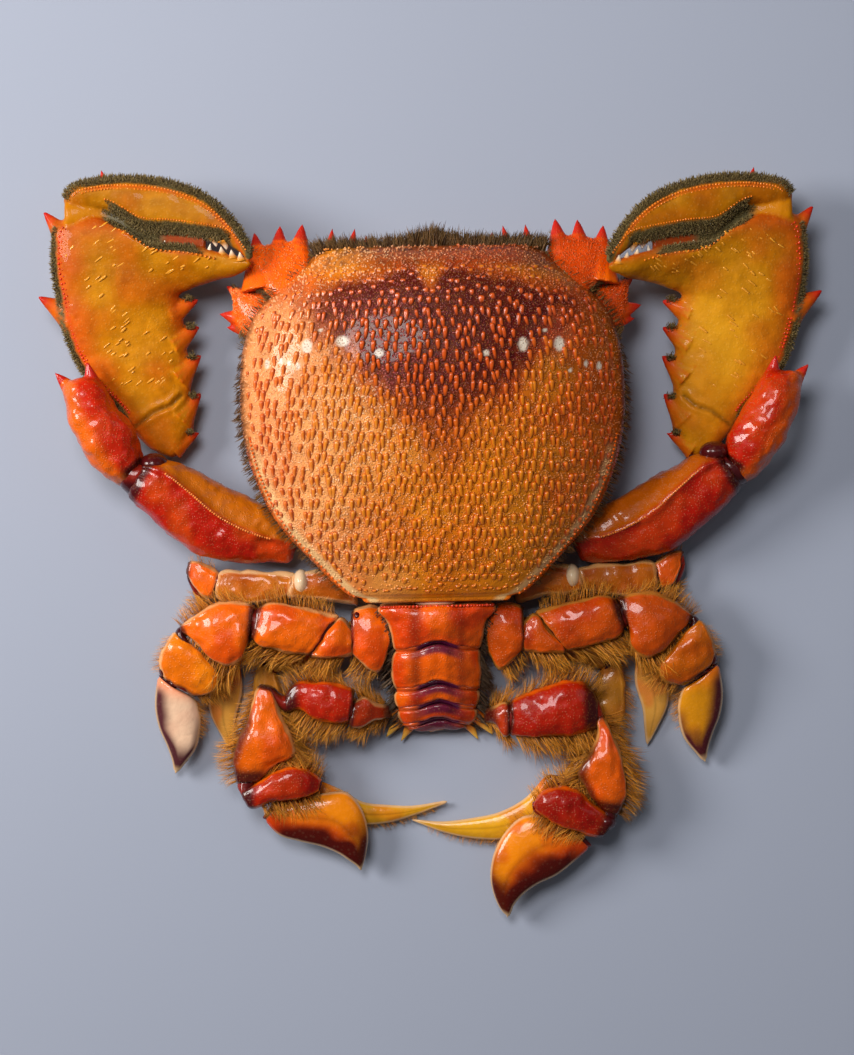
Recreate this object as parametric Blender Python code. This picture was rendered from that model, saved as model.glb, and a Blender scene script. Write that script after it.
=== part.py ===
# A cooked spanner crab, seen from above with its back up: a broad domed shell
# with toothed front lobes, two flat wide claws, three pairs of paddle legs,
# the low second pair, and a short segmented tail.
# Sizes are in millimetres and turned to metres where the meshes are made.
# +Y is the front of the crab, +Z is up, and the floor is at z = 0.

import math

import bmesh
import bpy
import numpy as np

MM = 0.001

# How each plate is sampled
AROUND_LEG = 10
AROUND_HIDDEN = 8
AROUND_CLAW = 14
AROUND_SHELL = 32
STEPS_LEG = 5
STEPS_PALM = 17
STEPS_FINGER = 12
STEPS_ARM = 8
STEPS_SHELL = 21
EDGE_MM = 1.3
SHELL_EDGE_MM = 2.2
SPINE_SIDES = 5

# The right claw is held a little further back than the left one
RIGHT_CLAW_BACK = 3.6

# Each row below is one rib across a plate, from its outer or front edge to its
# other edge: edge x, y, other edge x, y, height of the edges, rise, drop.
# The shell's rows give distance forward, half width, rim height, rise, drop.
SHELL = (
    (-59.4, 24.5, 25.5, 2.0, 1.6),
    (-56.5, 29.0, 24.5, 6.0, 2.4),
    (-46.0, 40.0, 23.0, 13.5, 3.0),
    (-33.0, 51.5, 21.5, 19.5, 3.0),
    (-19.0, 58.5, 20.5, 24.0, 3.0),
    (-3.0, 62.6, 20.0, 27.0, 3.0),
    (11.0, 63.2, 20.0, 28.0, 3.0),
    (25.0, 61.8, 20.5, 27.0, 3.0),
    (36.0, 57.5, 21.0, 24.5, 3.0),
    (45.5, 48.0, 22.0, 20.5, 3.0),
    (51.5, 40.5, 22.5, 16.0, 3.0),
    (56.8, 36.5, 22.5, 9.0, 2.6),
)
CLAW_ARM = (
    (-43, -31, -48.5, -45.5, 10, 6, 6),
    (-58, -26, -64, -45.5, 11, 8, 8),
    (-68.5, -20.5, -78, -42.5, 12, 9, 8.5),
    (-77.5, -15.5, -89, -34.5, 13, 9.5, 9),
    (-88, -11, -97.5, -26.5, 14, 9.5, 9),
    (-95, -10.5, -101.5, -22, 14.5, 8, 8),
)
CLAW_WRIST = (
    (-96.5, -11.5, -103, -20.5, 14.5, 8, 7.5),
    (-97, -6.5, -110, -14.5, 16.5, 9.5, 8),
    (-99.5, 0.5, -115.5, -7, 18, 9.5, 7),
    (-103.5, 7, -119.5, 1.5, 18.5, 9, 6),
    (-107.5, 13, -121, 9, 18.5, 8, 5.5),
    (-111, 17.5, -121.5, 15, 18, 5.5, 5),
)
CLAW_PALM = (
    (-92, -8.5, -85.5, -10, 8, 3.5, 4),
    (-98.5, -2, -80.5, -1, 8, 5, 5),
    (-106, 7.5, -80, 11.5, 8.5, 6, 5.8),
    (-114.5, 16, -80.5, 22.5, 9.5, 6.5, 6.5),
    (-120, 27, -81.5, 32.5, 10.5, 7, 7),
    (-123.5, 42, -83, 40.5, 12, 7.5, 7.5),
    (-125, 58.5, -83, 43.5, 13.5, 7.5, 7.5),
    (-123, 68, -81.5, 44.5, 15, 6.6, 7),
    (-114, 70, -79.5, 45, 16.5, 6.2, 6.5),
    (-103.5, 67, -76.5, 46, 18, 6, 6),
    (-95.5, 61, -72.5, 47, 19.5, 5.5, 5.5),
    (-83, 59.4, -68, 48, 22, 5, 4.8),
    (-70, 57, -63.5, 48.6, 25.5, 4, 3.6),
    (-58, 53, -58, 51, 29, 1.4, 1.2),
)
CLAW_FINGER = (
    (-121, 75.5, -117, 71.5, 14.5, 4, 4),
    (-118.5, 79.5, -111, 72, 15.2, 5.5, 5),
    (-110, 82, -103, 71, 16.5, 6, 5.5),
    (-97.5, 82.5, -94, 64.5, 18.5, 6, 5.2),
    (-84.5, 80.5, -84.5, 63, 20.5, 5.8, 5),
    (-73.5, 76, -75.5, 61.5, 22.5, 5.4, 4.6),
    (-65.5, 69, -67.5, 59.5, 25, 4.6, 3.8),
    (-60, 61.5, -63, 56.5, 27.5, 3.2, 2.6),
    (-57, 54.5, -58.5, 53, 29.3, 1.2, 1),
)
SECOND_BASE = (
    (-27.5, -47, -27, -60.5, 9, 4, 4),
    (-33, -48, -35, -59, 10.5, 5, 5),
    (-41.5, -48.5, -43.5, -58, 10.5, 4.6, 5),
    (-46.5, -49.5, -48.5, -57, 10, 4, 4.5),
)
SECOND_THIGH = (
    (-47.5, -49.5, -49.5, -57, 9, 3.6, 4.5),
    (-54.5, -48.5, -56.5, -59, 8.5, 4, 5),
    (-64, -48, -65, -59.5, 8, 4, 5),
    (-70, -47.5, -72, -58, 7.5, 3.6, 4.5),
    (-72.2, -48.5, -73.4, -56, 7.2, 3, 4),
)
SECOND_SHIN = (
    (-72.8, -48, -75.2, -57, 7, 3, 3.5),
    (-76, -46, -78, -56.5, 6.8, 3.4, 3.5),
    (-79.5, -44.5, -80.5, -53, 6.6, 3, 3.5),
    (-82, -45, -82, -49.5, 6.4, 2.2, 3),
)
SECOND_FOOT = (
    (-81.5, -54.5, -76.5, -58.5, 4.4, 1.6, 2.2),
    (-80, -60, -72.5, -62.5, 4.2, 2, 2.5),
    (-77.5, -68.5, -70, -66.5, 4, 2.2, 2.2),
    (-73.5, -77.5, -67.5, -74, 3.5, 1.8, 2),
    (-71, -81, -66, -78.5, 3.3, 1.4, 1.6),
)
SECOND_BLADE = (
    (-72.8, -82.6, -66.2, -80.2, 3.3, 1.5, 1.5),
    (-76, -87.5, -65.5, -87, 3.2, 1.7, 1.5),
    (-76.5, -96, -68, -97.5, 2.8, 1.5, 1.4),
    (-73, -103.5, -68.5, -104.5, 2.4, 1, 1),
    (-70, -109, -69, -109.5, 2, 0.5, 0.5),
)
THIRD_THIGH = (
    (-28, -65.5, -29, -75.5, 6, 3, 3),
    (-37, -68.5, -37, -78.5, 5, 3, 3),
    (-48.5, -71.5, -48, -81.5, 4.6, 3, 2.8),
    (-56.5, -75.5, -54.5, -83, 4.4, 2.4, 2.4),
)
THIRD_SHIN = (
    (-60, -79.3, -54.3, -83.2, 4.4, 2.4, 2.4),
    (-62, -87, -52.5, -88.5, 4.2, 2.6, 2.4),
    (-61.5, -100, -51, -99.5, 4, 2.4, 2.4),
    (-56.5, -112.5, -46.5, -109.5, 3.6, 2.2, 2.2),
    (-49.5, -123, -41, -118, 3.2, 1.8, 1.8),
)
THIRD_BLADE = (
    (-47.5, -127, -40, -119, 3.2, 1.6, 1.6),
    (-37, -132, -33.5, -122, 3, 2, 1.8),
    (-25, -134, -25.5, -126.5, 2.8, 2, 1.8),
    (-17.5, -133.5, -18, -127.5, 2.6, 1.8, 1.6),
    (-9.5, -131.5, -10.5, -128, 2.3, 1.3, 1.3),
    (2, -127.5, 2, -126.5, 2, 0.4, 0.4),
)
FOURTH_HIP = (
    (-16, -65.5, -16.5, -75.5, 13.5, 5, 5),
    (-19.5, -61, -20, -82.5, 14, 6, 5.5),
    (-24.5, -60.5, -25, -79.5, 14.5, 6, 5.5),
    (-28, -62, -28, -76, 14.5, 5, 5),
)
FOURTH_KNEE = (
    (-28.5, -68, -28.5, -76, 14.5, 4.5, 4.5),
    (-32, -64, -33, -77.5, 14.8, 6, 5),
    (-37, -69.5, -38, -77.5, 15, 5.5, 5),
    (-41.5, -74.5, -42, -77, 15, 3.5, 3.5),
)
FOURTH_THIGH = (
    (-33, -63.5, -43, -76.5, 15, 5.5, 5),
    (-39, -61.5, -48.5, -76, 15, 7, 5.5),
    (-46.5, -60, -54, -74.5, 15, 7.5, 5.5),
    (-54.5, -58.5, -59, -73, 14.8, 7, 5.5),
    (-59, -60, -61.5, -70.5, 14.5, 5.5, 5),
)
FOURTH_SHIN = (
    (-60, -60, -62.5, -69.5, 14.5, 5, 5),
    (-65.5, -58, -64.5, -76.5, 14.3, 7, 5.5),
    (-71.5, -58, -69, -79.5, 14, 7.5, 5.5),
    (-77.5, -60.5, -75.5, -76.5, 13.5, 7, 5.5),
    (-82, -63.5, -80, -71.5, 13, 5, 4.5),
    (-85, -66, -84, -68, 12.5, 2.5, 3),
)
FOURTH_FOOT = (
    (-87, -68, -81.5, -72, 12, 4, 4),
    (-90, -71.5, -75.5, -78, 12, 6, 5),
    (-91.5, -75.5, -72.5, -82.5, 11.5, 6, 5),
    (-92, -79, -74, -87.5, 11, 5.5, 4.5),
    (-90, -83.5, -80, -89, 10.5, 4, 3.5),
)
FOURTH_BLADE = (
    (-93, -82.2, -87, -86.8, 9.3, 3.3, 3.5),
    (-94, -87, -81.5, -90, 9, 4, 3.5),
    (-94.5, -93, -79.5, -95, 8, 3.8, 3.2),
    (-93.5, -99.5, -79.5, -100.5, 7, 3.4, 3),
    (-91, -106, -81.5, -107.5, 6, 2.8, 2.5),
    (-89.5, -111, -85, -112, 5, 1.8, 1.8),
    (-89, -115, -88, -115.5, 4.2, 0.5, 0.5),
)
LEFT_FIFTH_HIP = (
    (-16.5, -94, -16.5, -98.5, 6, 2.5, 2.5),
    (-21.5, -93, -22, -99, 10, 4.5, 4),
    (-25, -90.5, -26.5, -101, 11, 5, 4.5),
    (-28.3, -92, -28.8, -100, 11.5, 5, 4.5),
)
LEFT_FIFTH_THIGH = (
    (-28.5, -88, -29.5, -99, 12, 5.5, 5),
    (-34, -86, -35, -99.5, 12.5, 6.5, 5.5),
    (-40.5, -85, -41.5, -97, 12.5, 6.5, 5.5),
    (-46, -85, -46.5, -94.5, 12, 5.5, 5),
    (-50.6, -89.2, -50, -95.8, 11.5, 4.5, 4.5),
)
LEFT_FIFTH_SHIN = (
    (-59.5, -86.5, -55, -87.5, 11.5, 4.5, 4.5),
    (-62, -91.5, -53, -93.5, 12, 6, 5),
    (-64.5, -98.5, -50, -101.5, 12.5, 6.5, 5),
    (-67.5, -105, -48, -108.5, 12.5, 6.5, 5),
    (-69, -110.5, -54, -112.5, 12, 6, 4.5),
    (-67.5, -118, -60.5, -117.5, 11, 4, 4),
)
LEFT_FIFTH_FOOT = (
    (-66, -120.8, -63, -126, 11.5, 4, 3.5),
    (-60, -117.4, -60, -126.2, 12, 5.5, 4),
    (-54, -114, -55.5, -125, 12.5, 6, 4),
    (-48.5, -113, -49, -124.5, 12.5, 6, 4),
    (-43.5, -114, -44, -123.5, 12, 5, 3.5),
    (-40, -117.5, -40.5, -121, 11.5, 2.5, 2.5),
)
LEFT_FIFTH_BLADE = (
    (-59, -131, -54.5, -125.5, 8.5, 3, 2.5),
    (-54.5, -136, -47, -124, 8.5, 3.5, 2.5),
    (-47.5, -138.5, -38, -122.5, 8.5, 3.8, 2.5),
    (-40, -140.5, -30.5, -123, 8.2, 3.8, 2.5),
    (-34.5, -143, -25.5, -130.5, 7.8, 3.4, 2.4),
    (-31, -145.5, -24.5, -138, 7.2, 2.8, 2.2),
    (-28.5, -147.5, -25.5, -144, 6.6, 1.6, 1.5),
    (-27, -149.5, -27, -149, 6, 0.4, 0.4),
)
RIGHT_FIFTH_HIP = (
    (15.5, -96, 15.5, -100.5, 6, 2.5, 2.5),
    (18, -94.8, 18.4, -101, 9.5, 4.2, 4),
    (21, -93, 21.5, -105, 11, 5, 4.5),
    (23.2, -93.5, 22.8, -104, 11.5, 5, 4.5),
)
RIGHT_FIFTH_THIGH = (
    (24, -93, 24, -104, 12, 5.5, 5),
    (29.5, -90.5, 29.5, -105.5, 12.5, 6.5, 5.5),
    (36.5, -88, 36.5, -105, 12.8, 7, 5.5),
    (43, -86.5, 43.5, -104.5, 12.8, 7, 5.5),
    (49.5, -88, 49, -103, 12.3, 6, 5),
    (52.5, -92, 51.5, -102, 11.8, 4.5, 4.5),
)
RIGHT_FIFTH_SHIN = (
    (51.5, -100, 54.5, -98, 11.5, 4.5, 4.5),
    (51.5, -105, 57.5, -104.5, 12, 6, 5),
    (49, -111, 59.5, -111.5, 12.5, 6.5, 5),
    (45, -117, 61.5, -118.5, 12.5, 6.5, 5),
    (47.5, -122.5, 61.5, -125, 12, 6, 4.5),
    (53, -129.5, 58.5, -131, 11, 4, 4),
)
RIGHT_FIFTH_FOOT = (
    (56.3, -133.2, 53, -139, 11.5, 4, 3.5),
    (51.6, -128.2, 48.5, -138, 12, 5.5, 4),
    (45.5, -123, 42.5, -135.5, 12.5, 6, 4),
    (39.5, -122, 37.5, -134.5, 12.5, 6, 4),
    (34, -123.5, 33, -131.5, 12, 5, 3.5),
    (31, -126.5, 31, -129, 11.5, 2.5, 2.5),
)
RIGHT_FIFTH_BLADE = (
    (49.3, -142.6, 44.4, -137.4, 8, 3, 2.5),
    (44, -147, 37, -133, 8.5, 3.5, 2.5),
    (38, -151.5, 28, -131.5, 8.5, 3.8, 2.5),
    (31.5, -154.5, 21, -137, 8.2, 3.8, 2.5),
    (26.5, -158, 16.5, -146, 7.8, 3.4, 2.4),
    (23.5, -161.5, 16, -154.5, 7.2, 2.8, 2.2),
    (22.5, -164, 18.5, -162, 6.6, 1.6, 1.5),
    (21.5, -166, 21, -165.5, 6, 0.4, 0.4),
)
RIGHT_THIRD_BLADE = (
    (39, -127, 35, -119, 3.2, 1.6, 1.6),
    (29.5, -138.5, 27, -127, 3, 2, 1.8),
    (19, -140, 18.5, -131, 2.8, 2, 1.8),
    (11, -139.5, 10.5, -132.5, 2.6, 1.8, 1.6),
    (1.5, -137.5, 0.5, -133.5, 2.3, 1.3, 1.3),
    (-10, -133, -10, -132.5, 2, 0.4, 0.4),
)
TAIL_1 = (
    (-18.5, -60.2, 18.5, -60.2, 18.5, 6.5, 3),
    (-19.5, -62, 19.5, -62, 18.5, 8, 3.5),
    (-17, -65.5, 17, -65.5, 18, 9, 4),
    (-15.5, -70.5, 15, -71, 17, 9, 4),
    (-14.5, -75.2, 14, -75.2, 15.5, 8.5, 4),
)
TAIL_2 = (
    (-14.5, -75.7, 14, -75.7, 14.6, 7.5, 3.5),
    (-15.5, -78, 14, -79, 14, 8.5, 4),
    (-15.5, -84, 14, -84.5, 12.5, 8.5, 4),
    (-14.5, -88.6, 14, -88.6, 11, 7.5, 4),
)
TAIL_3 = (
    (-14.5, -89.1, 13.5, -89.1, 10, 6.5, 3.5),
    (-15, -91, 13.8, -91.2, 9.5, 7.5, 3.5),
    (-14, -95.2, 12.8, -95.2, 8, 6.5, 3.5),
)
TAIL_4 = (
    (-14, -95.7, 12.5, -95.7, 7.2, 5.5, 3),
    (-14, -98, 12.5, -98, 6.5, 6, 3),
    (-12.5, -101, 10.5, -101, 5.2, 5, 3),
)
TAIL_5 = (
    (-11, -101.5, 8.8, -101.5, 4.6, 3.8, 2.5),
    (-8.5, -103.2, 6.4, -103.4, 3.8, 3.4, 2.2),
    (-3.5, -105.4, 1.5, -105.4, 3, 1.8, 1.6),
)
BROW_LOBE = (
    (-45, 33, -30, 43, 29.5, 5, 4),
    (-50.5, 39.5, -35, 47.5, 25.5, 5.4, 4),
    (-56, 45.5, -39.5, 52, 22.6, 4.4, 3.4),
    (-58.5, 52.5, -40.5, 56.5, 21.4, 3.2, 2.8),
    (-58.5, 58, -41, 60.5, 20.5, 2.2, 2),
)
CHEEK_LOBE = (
    (-48, 39, -51, 25.5, 24, 4, 3.5),
    (-54, 41, -56, 27.5, 21, 4.4, 3.6),
    (-61, 44, -61.5, 30, 18.6, 3.5, 3),
    (-65.5, 46, -64.5, 35, 17.5, 2.4, 2.2),
)
UNDERBODY = (
    (-7.0, -95.0, 7.0, -95.0, 2.2, 0.7, 1.6),
    (-9.0, -87.0, 9.0, -87.0, 3.2, 1.2, 2.8),
    (-12.0, -75.0, 12.0, -75.0, 5.5, 2.5, 5.0),
    (-17.0, -62.0, 17.0, -62.0, 8.5, 3.5, 9.0),
    (-24.0, -50.0, 24.0, -50.0, 11.0, 5.0, 12.5),
    (-36.0, -32.0, 36.0, -32.0, 13.0, 3.6, 15.5),
    (-47.0, -8.0, 47.0, -8.0, 13.0, 3.4, 16.5),
    (-50.0, 12.0, 50.0, 12.0, 13.0, 3.4, 15.0),
    (-45.0, 32.0, 45.0, 32.0, 14.0, 3.2, 6.5),
    (-36.0, 46.0, 36.0, 46.0, 15.0, 3.4, 4.4),
    (-28.0, 53.0, 28.0, 53.0, 16.0, 1.8, 2.6),
)
MOUTH_COVER = (
    (-2.0, 31.0, -12.0, 32.0, 3.6, 1.2, 2.2),
    (-1.5, 38.0, -15.0, 40.0, 4.6, 1.8, 2.8),
    (-1.5, 50.0, -12.0, 52.0, 7.0, 2.0, 2.6),
    (-2.5, 57.5, -7.0, 58.5, 9.5, 1.4, 1.6),
)
EYE_STALK = (
    (-7.5, 55.0, -11.5, 55.0, 15.6, 1.6, 1.6),
    (-7.0, 57.0, -12.5, 57.2, 16.2, 2.2, 2.0),
    (-8.0, 59.4, -12.5, 59.4, 16.6, 1.6, 1.6),
)

# Spines and teeth: root x, y, z, tip x, y, z, radius at the root
BROW_SPINES = (
    (-43.0, 54.0, 21.0, -41.4, 66.0, 21.0, 5.0),
    (-49.5, 54.0, 20.8, -48.8, 65.6, 20.6, 4.8),
    (-56.0, 53.0, 20.5, -57.4, 63.6, 19.8, 4.6),
)
CHEEK_SPINES = (
    (-61.0, 41.5, 17.4, -67.6, 46.4, 15.6, 3.4),
    (-62.5, 35.0, 17.2, -70.0, 37.0, 15.6, 3.4),
    (-62.0, 31.5, 17.4, -67.8, 32.4, 16.2, 2.6),
)
FRONT_SPINES = (
    (-16.0, 53.0, 23.5, -14.6, 59.6, 22.6, 2.2),
    (-20.5, 52.5, 23.5, -20.6, 61.2, 22.6, 2.2),
    (-26.5, 52.5, 23.5, -24.2, 63.4, 22.8, 2.6),
    (-33.0, 52.5, 23.2, -31.6, 63.6, 22.4, 2.8),
)
ROSTRUM = ((0.0, 52.0, 24.0, 0.0, 62.4, 23.4, 4.0),)
PALM_SPINES = (
    (-85.0, 38.5, 12.2, -76.2, 42.0, 13.4, 2.8),
    (-85.0, 28.5, 11.0, -76.2, 33.4, 11.8, 3.2),
    (-84.0, 17.5, 10.0, -76.0, 24.0, 10.8, 3.4),
    (-84.0, 4.0, 8.6, -76.4, 11.6, 9.4, 3.4),
    (-86.0, -6.0, 8.2, -77.2, -1.6, 8.6, 2.6),
    (-119.0, 62.0, 14.6, -127.4, 72.4, 15.8, 3.0),
    (-119.0, 37.5, 12.0, -130.2, 44.4, 13.4, 3.2),
)
PALM_TEETH = (
    (-88.0, 56.5, 20.8, -86.0, 62.2, 22.2, 1.9),
    (-79.5, 56.0, 22.4, -77.6, 61.0, 23.8, 1.7),
    (-72.5, 54.6, 24.2, -71.4, 59.4, 25.4, 1.5),
)
FINGER_SPINES = (
    (-106.0, 78.5, 17.4, -107.4, 84.8, 18.4, 2.4),
    (-115.5, 74.5, 15.8, -118.6, 79.4, 16.6, 2.2),
)
WRIST_SPINES = (
    (-119.0, 13.0, 18.4, -124.2, 18.8, 19.4, 3.4),
    (-112.0, 15.5, 18.8, -113.2, 22.2, 20.4, 3.2),
)


def between(rows, count):
    """Rows spread evenly along the plate, on a smooth curve through the given ones."""
    rows = np.array(rows, float)
    middle = (rows[:, 0:2] + rows[:, 2:4]) / 2
    gaps = np.linalg.norm(np.diff(middle, axis=0), axis=1)
    along = np.concatenate([[0.0], np.cumsum(gaps)])
    steps = np.diff(along)[:, None]
    slopes = np.diff(rows, axis=0) / steps
    bends = np.empty_like(rows)
    bends[0] = slopes[0]
    bends[-1] = slopes[-1]
    bends[1:-1] = (slopes[:-1] * steps[1:] + slopes[1:] * steps[:-1]) / (steps[:-1] + steps[1:])
    wanted = np.linspace(0.0, along[-1], count)
    index = np.clip(np.searchsorted(along, wanted, side="right") - 1, 0, len(along) - 2)
    width = along[index + 1] - along[index]
    t = ((wanted - along[index]) / width)[:, None]
    width = width[:, None]
    found = (
        (2 * t**3 - 3 * t**2 + 1) * rows[index]
        + (t**3 - 2 * t**2 + t) * width * bends[index]
        + (3 * t**2 - 2 * t**3) * rows[index + 1]
        + (t**3 - t**2) * width * bends[index + 1]
    )
    return found, along[-1]


def with_rounded_ends(ribs, edge):
    """The ribs with one small blunt rib added at each end, so that the ends are rounded over."""
    out = []
    for end, inner in ((0, 1), (-1, -2)):
        rib = ribs[end].copy()
        span = rib[2:4] - rib[0:2]
        wide = max(np.linalg.norm(span), 1e-6)
        pull = min(edge / wide, 0.3)
        small = rib.copy()
        small[0:2] = rib[0:2] + span * pull
        small[2:4] = rib[2:4] - span * pull
        small[5:7] = rib[5:7] * 0.35
        middle = (rib[0:2] + rib[2:4]) / 2
        other = (ribs[inner][0:2] + ribs[inner][2:4]) / 2
        inward = (other - middle) / max(np.linalg.norm(other - middle), 1e-6)
        step = min(edge, 0.4 * np.linalg.norm(other - middle))
        full = rib.copy()
        full[0:2] = rib[0:2] + inward * step
        full[2:4] = rib[2:4] + inward * step
        out.append((small, full))
    first = [out[0][0], out[0][1]]
    last = [out[1][1], out[1][0]]
    return np.array(first + list(ribs[1:-1]) + last)


def plate(rows, around, count, edge=EDGE_MM, round_power=0.85, floor=None):
    """Vertices and faces of one closed plate laid over its ribs."""
    ribs, _ = between(rows, count)
    ribs = with_rounded_ends(ribs, edge)
    turn = np.arange(around) * 2 * math.pi / around
    across = 0.5 - 0.5 * np.sign(np.cos(turn)) * np.abs(np.cos(turn)) ** round_power
    lift = np.abs(np.sin(turn)) ** round_power
    points = []
    for rib in ribs:
        flat = rib[0:2] + (rib[2:4] - rib[0:2]) * across[:, None]
        height = rib[4] + np.where(np.sin(turn) >= 0, rib[5] * lift, -rib[6] * lift)
        if floor is not None:
            height = np.maximum(height, floor)
        points.append(np.column_stack([flat, height]))
    rings = len(points)
    points = np.concatenate(points)
    ends = [points[:around].mean(axis=0), points[-around:].mean(axis=0)]
    points = np.vstack([points, ends])
    faces = []
    for ring in range(rings - 1):
        for side in range(around):
            after = (side + 1) % around
            low = ring * around
            faces.append((low + side, low + after, low + around + after, low + around + side))
    start = rings * around
    last = (rings - 1) * around
    for side in range(around):
        after = (side + 1) % around
        faces.append((start, after, side))
        faces.append((start + 1, last + side, last + after))
    return points, faces


def spine(row, sides=SPINE_SIDES):
    """A slender cone that bulges a little above its root."""
    root = np.array(row[0:3])
    tip = np.array(row[3:6])
    radius = row[6]
    axis = tip - root
    axis = axis / np.linalg.norm(axis)
    side = np.cross(axis, (0.0, 0.0, 1.0))
    side = side / np.linalg.norm(side)
    up = np.cross(side, axis)
    points = []
    for share, size in ((0.0, 1.0), (0.45, 0.68)):
        for step in range(sides):
            angle = 2 * math.pi * (step + 0.5) / sides
            ring = side * math.cos(angle) + up * math.sin(angle) * 0.8
            points.append(root + (tip - root) * share + ring * radius * size)
    points.append(root)
    points.append(tip)
    faces = []
    for step in range(sides):
        after = (step + 1) % sides
        faces.append((2 * sides, after, step))
        faces.append((step, after, sides + after, sides + step))
        faces.append((sides + step, sides + after, 2 * sides + 1))
    return np.array(points), faces


def mesh_object(name, points, faces):
    mesh = bpy.data.meshes.new(name)
    mesh.from_pydata([tuple(p) for p in np.asarray(points) * MM], [], faces)
    obj = bpy.data.objects.new(name, mesh)
    bpy.context.scene.collection.objects.link(obj)
    made = bmesh.new()
    made.from_mesh(mesh)
    bmesh.ops.recalc_face_normals(made, faces=made.faces)
    for face in made.faces:
        face.smooth = True
    made.to_mesh(mesh)
    made.free()
    return obj


def joined(name, body, extras):
    """One mesh from the body and the pieces that grow out of it."""
    target = mesh_object(name, *body)
    if not extras:
        return target
    group = bpy.data.collections.new(name + "_extras")
    bpy.context.scene.collection.children.link(group)
    helpers = []
    for number, extra in enumerate(extras):
        helper = mesh_object(f"{name}_extra_{number}", *extra)
        bpy.context.scene.collection.objects.unlink(helper)
        group.objects.link(helper)
        helpers.append(helper)
    join = target.modifiers.new("join", "BOOLEAN")
    join.operation = "UNION"
    join.solver = "EXACT"
    join.operand_type = "COLLECTION"
    join.collection = group
    bpy.context.view_layer.update()
    graph = bpy.context.evaluated_depsgraph_get()
    done = bpy.data.meshes.new_from_object(target.evaluated_get(graph))
    target.modifiers.remove(join)
    old = target.data
    target.data = done
    bpy.data.meshes.remove(old)
    for helper in helpers:
        bpy.data.objects.remove(helper)
    bpy.data.collections.remove(group)
    return target


def finish(obj, slot, color, roughness=0.35):
    material = bpy.data.materials.get(slot)
    if material is None:
        material = bpy.data.materials.new(slot)
        material.use_nodes = True
        shader = material.node_tree.nodes["Principled BSDF"]
        shader.inputs["Base Color"].default_value = (*color, 1.0)
        shader.inputs["Roughness"].default_value = roughness
    obj.data.materials.clear()
    obj.data.materials.append(material)
    for face in obj.data.polygons:
        face.use_smooth = True
    return obj


def mirrored(rows, back=0.0):
    """The same rows on the other side of the middle, moved back by the given amount."""
    out = []
    for row in rows:
        row = list(row)
        row[0] = -row[0]
        row[1] -= back
        if len(row) == 7:
            row[2] = -row[2]
            row[3] -= back
        out.append(tuple(row))
    return tuple(out)


def mirrored_spines(rows, back=0.0):
    out = []
    for x, y, z, tip_x, tip_y, tip_z, radius in rows:
        out.append((-x, y - back, z, -tip_x, tip_y - back, tip_z, radius))
    return tuple(out)


ORANGE_RED = (0.60, 0.10, 0.02)
DEEP_RED = (0.42, 0.04, 0.01)
OCHRE = (0.55, 0.24, 0.02)
SHELL_ORANGE = (0.60, 0.26, 0.03)
PALE = (0.70, 0.42, 0.22)
HORN = (0.55, 0.20, 0.02)


def build_shell():
    rows = [(-w, y, w, y, z, rise, drop) for y, w, z, rise, drop in SHELL]
    body = plate(rows, AROUND_SHELL, STEPS_SHELL, SHELL_EDGE_MM, 0.92)
    extras = []
    for turn in (lambda rows: rows, mirrored):
        extras.append(plate(turn(BROW_LOBE), 10, 5, 1.6))
        extras.append(plate(turn(CHEEK_LOBE), 10, 4, 1.6))
    for turn in (lambda rows: rows, mirrored_spines):
        for row in turn(BROW_SPINES) + turn(CHEEK_SPINES) + turn(FRONT_SPINES):
            extras.append(spine(row))
    extras.append(spine(ROSTRUM[0]))
    finish(joined("carapace", body, extras), "shell", SHELL_ORANGE)


def build_claws():
    for side, turn, spines in (
        ("left", lambda rows, back=0.0: rows, lambda rows, back=0.0: rows),
        ("right", mirrored, mirrored_spines),
    ):
        back = RIGHT_CLAW_BACK
        arm = plate(turn(CLAW_ARM, 0.5 * back), AROUND_CLAW, STEPS_ARM)
        finish(joined("claw_arm_" + side, arm, ()), "claw_red", ORANGE_RED)
        wrist = plate(turn(CLAW_WRIST, 0.72 * back), AROUND_CLAW, STEPS_ARM)
        extras = [spine(row) for row in spines(WRIST_SPINES, 0.72 * back)]
        finish(joined("claw_wrist_" + side, wrist, extras), "claw_red", ORANGE_RED)
        palm = plate(turn(CLAW_PALM, back), AROUND_CLAW, STEPS_PALM)
        extras = [spine(row) for row in spines(PALM_SPINES + PALM_TEETH, back)]
        finish(joined("claw_palm_" + side, palm, extras), "claw_ochre", OCHRE)
        finger = plate(turn(CLAW_FINGER, back), AROUND_CLAW, STEPS_FINGER)
        extras = [spine(row) for row in spines(FINGER_SPINES, back)]
        finish(joined("claw_finger_" + side, finger, extras), "claw_ochre", OCHRE)


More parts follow.
